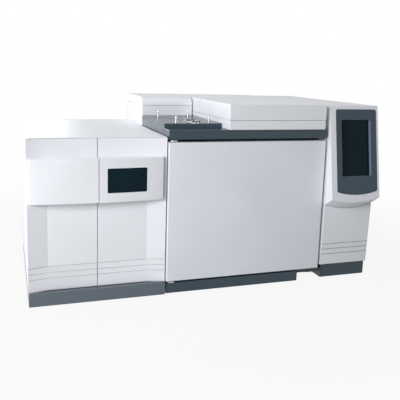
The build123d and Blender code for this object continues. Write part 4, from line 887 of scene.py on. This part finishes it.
# %% Fan rotors
def fan_blade(hub_r, tip_r, chord, half_depth):
    bm = bmesh.new()
    across_n, out_n, half_thick, bulge = 6, 5, 0.0005, 0.0016
    hub_pitch, untwist, sweep = 52, 20, 0.25
    for side in (-half_thick, half_thick):
        for j in range(out_n + 1):
            t = j / out_n
            pitch = math.radians(hub_pitch - untwist * t)
            for i in range(across_n + 1):
                s = i / across_n - 0.5
                reach = chord * (0.8 + 0.3 * t) * s
                camber = bulge * (1 - 4 * s * s)
                x = reach * math.cos(pitch) - (camber + side) * math.sin(pitch)
                y = reach * math.sin(pitch) + (camber + side) * math.cos(pitch)
                y = max(-half_depth, min(half_depth, y))
                radius = hub_r + (tip_r - hub_r) * t
                swing = x / radius + sweep * t
                bm.verts.new((radius * math.sin(swing), y, radius * math.cos(swing)))
    bm.verts.ensure_lookup_table()
    row_n, sheet_n = across_n + 1, (across_n + 1) * (out_n + 1)
    for j in range(out_n):
        for i in range(across_n):
            a = j * row_n + i
            bm.faces.new([bm.verts[k] for k in (a, a + 1, a + row_n + 1, a + row_n)])
            bm.faces.new([bm.verts[k + sheet_n] for k in (a, a + row_n, a + row_n + 1, a + 1)])
    rim = ([i for i in range(row_n)]
           + [j * row_n + across_n for j in range(1, out_n + 1)]
           + [out_n * row_n + i for i in range(across_n - 1, -1, -1)]
           + [j * row_n for j in range(out_n - 1, 0, -1)])
    for a, b in zip(rim, rim[1:] + rim[:1]):
        bm.faces.new([bm.verts[k] for k in (b, a, a + sheet_n, b + sheet_n)])
    return to_mesh(bm, "fan_blade", sharp=50)


BLADES, BLADE_ROOT, BLADE_TIP, CHORD, HALF_DEPTH = 7, 0.0155, 0.0385, 0.019, 0.0085
for node, body in (("module_fan_rotor", "module_fan"), ("column_fan_rotor", "column_fan")):
    low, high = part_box(node)
    hub_x = (low.x + high.x) / 2
    housing = min(islands("fan_housings"), key=lambda b: abs((b[0].x + b[1].x) / 2 - hub_x))
    middle = (housing[0] + housing[1]) / 2
    hub = Vector((middle.x, (low.y + high.y) / 2, middle.z))
    grown(node + "_blades", fan_blade(BLADE_ROOT, BLADE_TIP, CHORD, HALF_DEPTH), around,
          {"Count": BLADES, "Axis": (0.0, 1.0, 0.0), "Centre": hub},
          body, "black_plastic", (node,))
    bm = bmesh.new()
    y0, y1 = low.y, high.y
    lathe(bm, [(0, y0 + 0.006), (0.0031, y0 + 0.006), (0.0031, y0), (0.0148, y0),
               (0.016, y0 + 0.0012), (0.016, y1 - 0.002), (0.0142, y1 - 0.0004),
               (0, y1 - 0.0001)],
          (middle.x, 0, middle.z), "Y", 36)
    piece(node + "_hub", bm, body, "black_plastic", (node,))
softened("fan_housings", 0.0006, 30)

# %% [markdown]
# ## Vacuum chamber, pump and power units
# Behind the service door the analyser sits in a machined aluminium block. Its lid is held by four
# thumb screws, the pump below has cooling rings, and the electronics boxes have rows of
# terminals. These are only seen with the door open, so each gets one or two honest details.

# %% Details of the module's inside
softened("vacuum_manifold", 0.0010, 25)
low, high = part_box("vacuum_manifold")
KNOB_R, KNOB_H, KNOB_IN_X, KNOB_IN_Y = 0.0082, 0.010, 0.018, 0.014
knob_at = [(x, y) for x in (low.x + KNOB_IN_X, high.x - KNOB_IN_X)
           for y in (low.y + KNOB_IN_Y, high.y - KNOB_IN_Y)]
bm = bmesh.new()
for x, y in knob_at:
    lathe(bm, [(0, 0), (KNOB_R * 0.9, 0), (knurl(KNOB_R, 0.0006), 0.0008),
               (knurl(KNOB_R, 0.0006), KNOB_H - 0.001), (KNOB_R * 0.85, KNOB_H), (0, KNOB_H)],
          (x, y, high.z - KNOB_H), steps=40)
piece("chamber_knobs", bm, "base", "black_plastic")
LID_DROP, ROW_IN, RIM_IN, ROW_SCREWS, LID_SCREW_R = 0.014, 0.045, 0.006, 5, 0.0028
pitch = (high.x - low.x - 2 * ROW_IN) / (ROW_SCREWS - 1)
rim_spots = [(Vector((low.x + ROW_IN + k * pitch, y, high.z - LID_DROP)), TOP, LID_SCREW_R)
             for k in range(ROW_SCREWS) for y in (low.y + RIM_IN, high.y - RIM_IN)]
fasten("chamber_screws", rim_spots, "base", "stainless", seed=3)

softened("turbo_pump", 0.0008, 25)
low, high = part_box("turbo_pump")
PUMP_R, PUMP_FLANGE_R, FIRST_FIN = 0.048, 0.057, 0.032
bm = bmesh.new()
lathe(bm, [(PUMP_R - 0.001, -0.0012), (PUMP_R + 0.005, -0.0008), (PUMP_R + 0.005, 0.0008),
           (PUMP_R - 0.001, 0.0012)],
      (low.x + PUMP_FLANGE_R, low.y + PUMP_FLANGE_R, low.z + FIRST_FIN), steps=48, closed=True)
grown("pump_fins", to_mesh(bm, "pump_fin", sharp=50), row, {"Count": 9, "Step": (0.0, 0.0, 0.0075)},
      "base", "machined_aluminium")

softened("power_units", 0.0008, 20)
low, _ = min(islands("power_units"), key=lambda b: b[0].x)
bm = bmesh.new()
cuboid(bm, (low.x + 0.012, low.y - 0.004, low.z + 0.010),
       (low.x + 0.020, low.y + 0.001, low.z + 0.022))
grown("supply_terminals", to_mesh(bm, "terminal", 0.0006), row,
      {"Count": 9, "Step": (0.0125, 0.0, 0.0)}, "base", "black_plastic")

# %% [markdown]
# ## Under the lids
# The flow modules meter the carrier gas. Each is a machined manifold with threaded fittings, and
# the detectors beside them are turned towers with a knurled cap. The CAD has their masses; here
# come the fittings.

# %% Fittings, detector caps and softened bodies
softened("flow_modules", 0.0006, 25)
softened("detectors", 0.0004, 25)
FITTING_OUT, FITTING_UP = 0.009, 0.014
bm = bmesh.new()
for lo, hi in islands("flow_modules"):
    for k in (0.3, 0.7):
        c = (lo.x + (hi.x - lo.x) * k, lo.y - FITTING_OUT, lo.z + FITTING_UP)
        lathe(bm, [(0, 0.0), (0.0016, 0.0), (0.0016, 0.003), (hexagon(0.0052), 0.003),
                   (hexagon(0.0052), 0.0092), (0, 0.0092)], c, "Y", 24)
piece("flow_fittings", bm, "base", "stainless")
bm = bmesh.new()
for lo, hi in islands("detectors"):
    c = (lo + hi) / 2
    grip = knurl(0.0124, 0.0006)
    lathe(bm, [(0, -0.020), (0.0118, -0.020), (grip, -0.0192), (grip, -0.0128), (0.0112, -0.012),
               (0, -0.012)], (c.x, c.y, hi.z), steps=48)
piece("detector_caps", bm, "base", "nickel")

# %% [markdown]
# ## Rear connections
# At the back there are the gas inlets, the vacuum foreline and the mains inlet. Each gas union
# gets a hexagon nut, and the other fittings only have their edges broken.

# %% Gas nuts and softened fittings
softened("rear_fittings", 0.0004, 30)
softened("mains_inlet", 0.0005, 25)
GAS_WIDEST, BORE_R, NUT_LONG, NUT_BACK = 0.02, 0.0060, 0.0058, 0.0078
small, full = hexagon(0.0100), hexagon(0.0106)
bm = bmesh.new()
for lo, hi in [b for b in islands("rear_fittings") if b[1].x - b[0].x < GAS_WIDEST]:
    c = (lo + hi) / 2
    lathe(bm, [(BORE_R, 0.0), (small, 0.0), (full, 0.0006), (full, 0.0052), (small, NUT_LONG),
               (BORE_R, NUT_LONG)], (c.x, hi.y - NUT_BACK, c.z), "Y", 36, closed=True)
piece("gas_nuts", bm, "base", "stainless")

# %% [markdown]
# ## Oven inside
# The oven liner is folded stainless steel. The door tray carries a raised plug that fills the
# oven mouth, and a row of screws holds the tray to the door skin. A woven rope seals the plug's
# foot. The tray and the column's cage are thin frames with openings, where a bevel would fill the
# opening, so those two stay as the CAD made them.

# %% Oven liner, shroud, fan and tray screws
for node, width, sharp in (("oven_liner", 0.0004, 20), ("oven_door_seal", 0.0008, 40),
                           ("fan_shroud", 0.0003, 25), ("oven_fan", 0.0003, 25),
                           ("oven_frame", 0.0005, 20), ("oven_fan_motor", 0.0008, 25),
                           ("door_latch", 0.0004, 20), ("feet", 0.0010, 30),
                           ("display_glass", 0.0003, 12), ("power_rocker", 0.0004, 30)):
    softened(node, width, sharp)
tray_low, tray_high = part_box("oven_door_tray")
seal_low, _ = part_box("oven_door_seal")
INSET, TRAY_SCREW_R, TRAY_COLUMNS, TRAY_ROWS = 0.010, 0.0026, 8, 7
tray_places = []
for k in range(TRAY_COLUMNS + 1):
    x = tray_low.x + INSET + k * (tray_high.x - tray_low.x - 2 * INSET) / TRAY_COLUMNS
    tray_places += [(x, tray_low.z + INSET), (x, tray_high.z - INSET)]
for k in range(1, TRAY_ROWS):
    z = tray_low.z + INSET + k * (tray_high.z - tray_low.z - 2 * INSET) / TRAY_ROWS
    tray_places += [(tray_low.x + INSET, z), (tray_high.x - INSET, z)]
tray_spots = [(Vector((x, seal_low.y, z)), BACK, TRAY_SCREW_R) for x, z in tray_places]
fasten("tray_screws", tray_spots, "oven_door", "nickel", seed=5)
# The loose screw was only the pattern for all the copies.
bpy.data.objects.remove(screw)
print("pieces done")

# %% [markdown]
# ## Floor, backdrop and light
# The object stands on a plain pale floor. Only the camera, mirrors and glass see it as pure
# white, by the Light Path node; for the light itself it stays a grey card, so it does not flood
# the object. Five soft lamps and the world light the cabinet, most of all from the front left.

# %% Floor and world
def for_eyes_only(tree, light, picture, share=1.0):
    """Mix so that the camera, mirrors and glass see the picture, and all other rays the light."""
    path = add_node(tree, "ShaderNodeLightPath").outputs
    seen = math_node(tree, "MAXIMUM", path["Is Camera Ray"], path["Is Glossy Ray"])
    seen = math_node(tree, "MAXIMUM", seen, path["Is Transmission Ray"])
    mixed = add_node(tree, "ShaderNodeMixShader", {
        "Fac": math_node(tree, "MULTIPLY", seen, share), 1: light, 2: picture})
    return mixed.outputs["Shader"]


FLOOR_HALF = 9
CORNERS = ((-1, -1), (1, -1), (1, 1), (-1, 1))
floor_mesh = bpy.data.meshes.new("floor")
floor_mesh.from_pydata([(FLOOR_HALF * x, FLOOR_HALF * y, 0) for x, y in CORNERS], [],
                       [(0, 1, 2, 3)])
floor = bpy.data.objects.new("floor", floor_mesh)
bpy.context.scene.collection.objects.link(floor)
floor_mat, tree, card, where = new_material("floor_card")
card.inputs["Base Color"].default_value = (0.5, 0.5, 0.5, 1.0)
card.inputs["Roughness"].default_value = 0.9
glow = add_node(tree, "ShaderNodeEmission", {"Strength": 1.0})
away = add_node(tree, "ShaderNodeVectorMath", {0: where}, operation="LENGTH")
fade = remap(tree, away.outputs["Value"], 0.90, 1.0, 0.5, 1.7, interpolation_type="SMOOTHSTEP")
tree.links.new(for_eyes_only(tree, card.outputs["BSDF"], glow.outputs["Emission"], fade),
               tree.nodes["Material Output"].inputs["Surface"])
floor_mesh.materials.append(floor_mat)

world = bpy.data.worlds.new("studio")
bpy.context.scene.world = world
world.use_nodes = True
tree = world.node_tree
sky = tree.nodes["Background"]
sky.inputs["Color"].default_value = (0.80, 0.88, 1.0, 1.0)
sky.inputs["Strength"].default_value = 0.13
white = add_node(tree, "ShaderNodeBackground", {"Color": (1.0, 1.0, 1.0, 1.0), "Strength": 1.0})
tree.links.new(for_eyes_only(tree, sky.outputs["Background"], white.outputs["Background"]),
               tree.nodes["World Output"].inputs["Surface"])
print("floor and world ready")

# %% Lamps
def soft_lamp(name, at, aim, size, power, colour):
    lamp = bpy.data.lights.new(name, "AREA")
    lamp.shape = "RECTANGLE"
    lamp.size, lamp.size_y = size
    lamp.energy = power
    lamp.color = colour
    obj = bpy.data.objects.new(name, lamp)
    bpy.context.scene.collection.objects.link(obj)
    obj.location = at
    obj.rotation_mode = "QUATERNION"
    obj.rotation_quaternion = (Vector(aim) - Vector(at)).to_track_quat("-Z", "Y")
    return obj


CENTRE = (-0.1, 0.0, 0.25)
LAMPS = [
    ("key_lamp", (-2.1, -2.2, 1.7), CENTRE, (1.3, 1.3), 49.0, (0.97, 0.975, 1.0)),
    ("low_key_lamp", (-2.3, -1.5, 0.9), CENTRE, (1.2, 1.2), 38.0, (0.98, 0.975, 1.0)),
    ("left_lamp", (-2.6, 0.6, 0.9), CENTRE, (1.6, 1.2), 6.0, (0.98, 0.99, 1.0)),
    ("top_lamp", (-0.5, 0.3, 2.7), (0.0, 0.0, 0.3), (2.0, 1.6), 19.0, (0.96, 0.98, 1.0)),
    ("rear_lamp", (-1.1, 4.0, 0.9), (-0.1, 0.0, 0.4), (2.4, 0.8), 34.0, (0.95, 0.96, 1.0)),
]
for lamp in LAMPS:
    soft_lamp(*lamp)
print("lamps:", len(LAMPS))
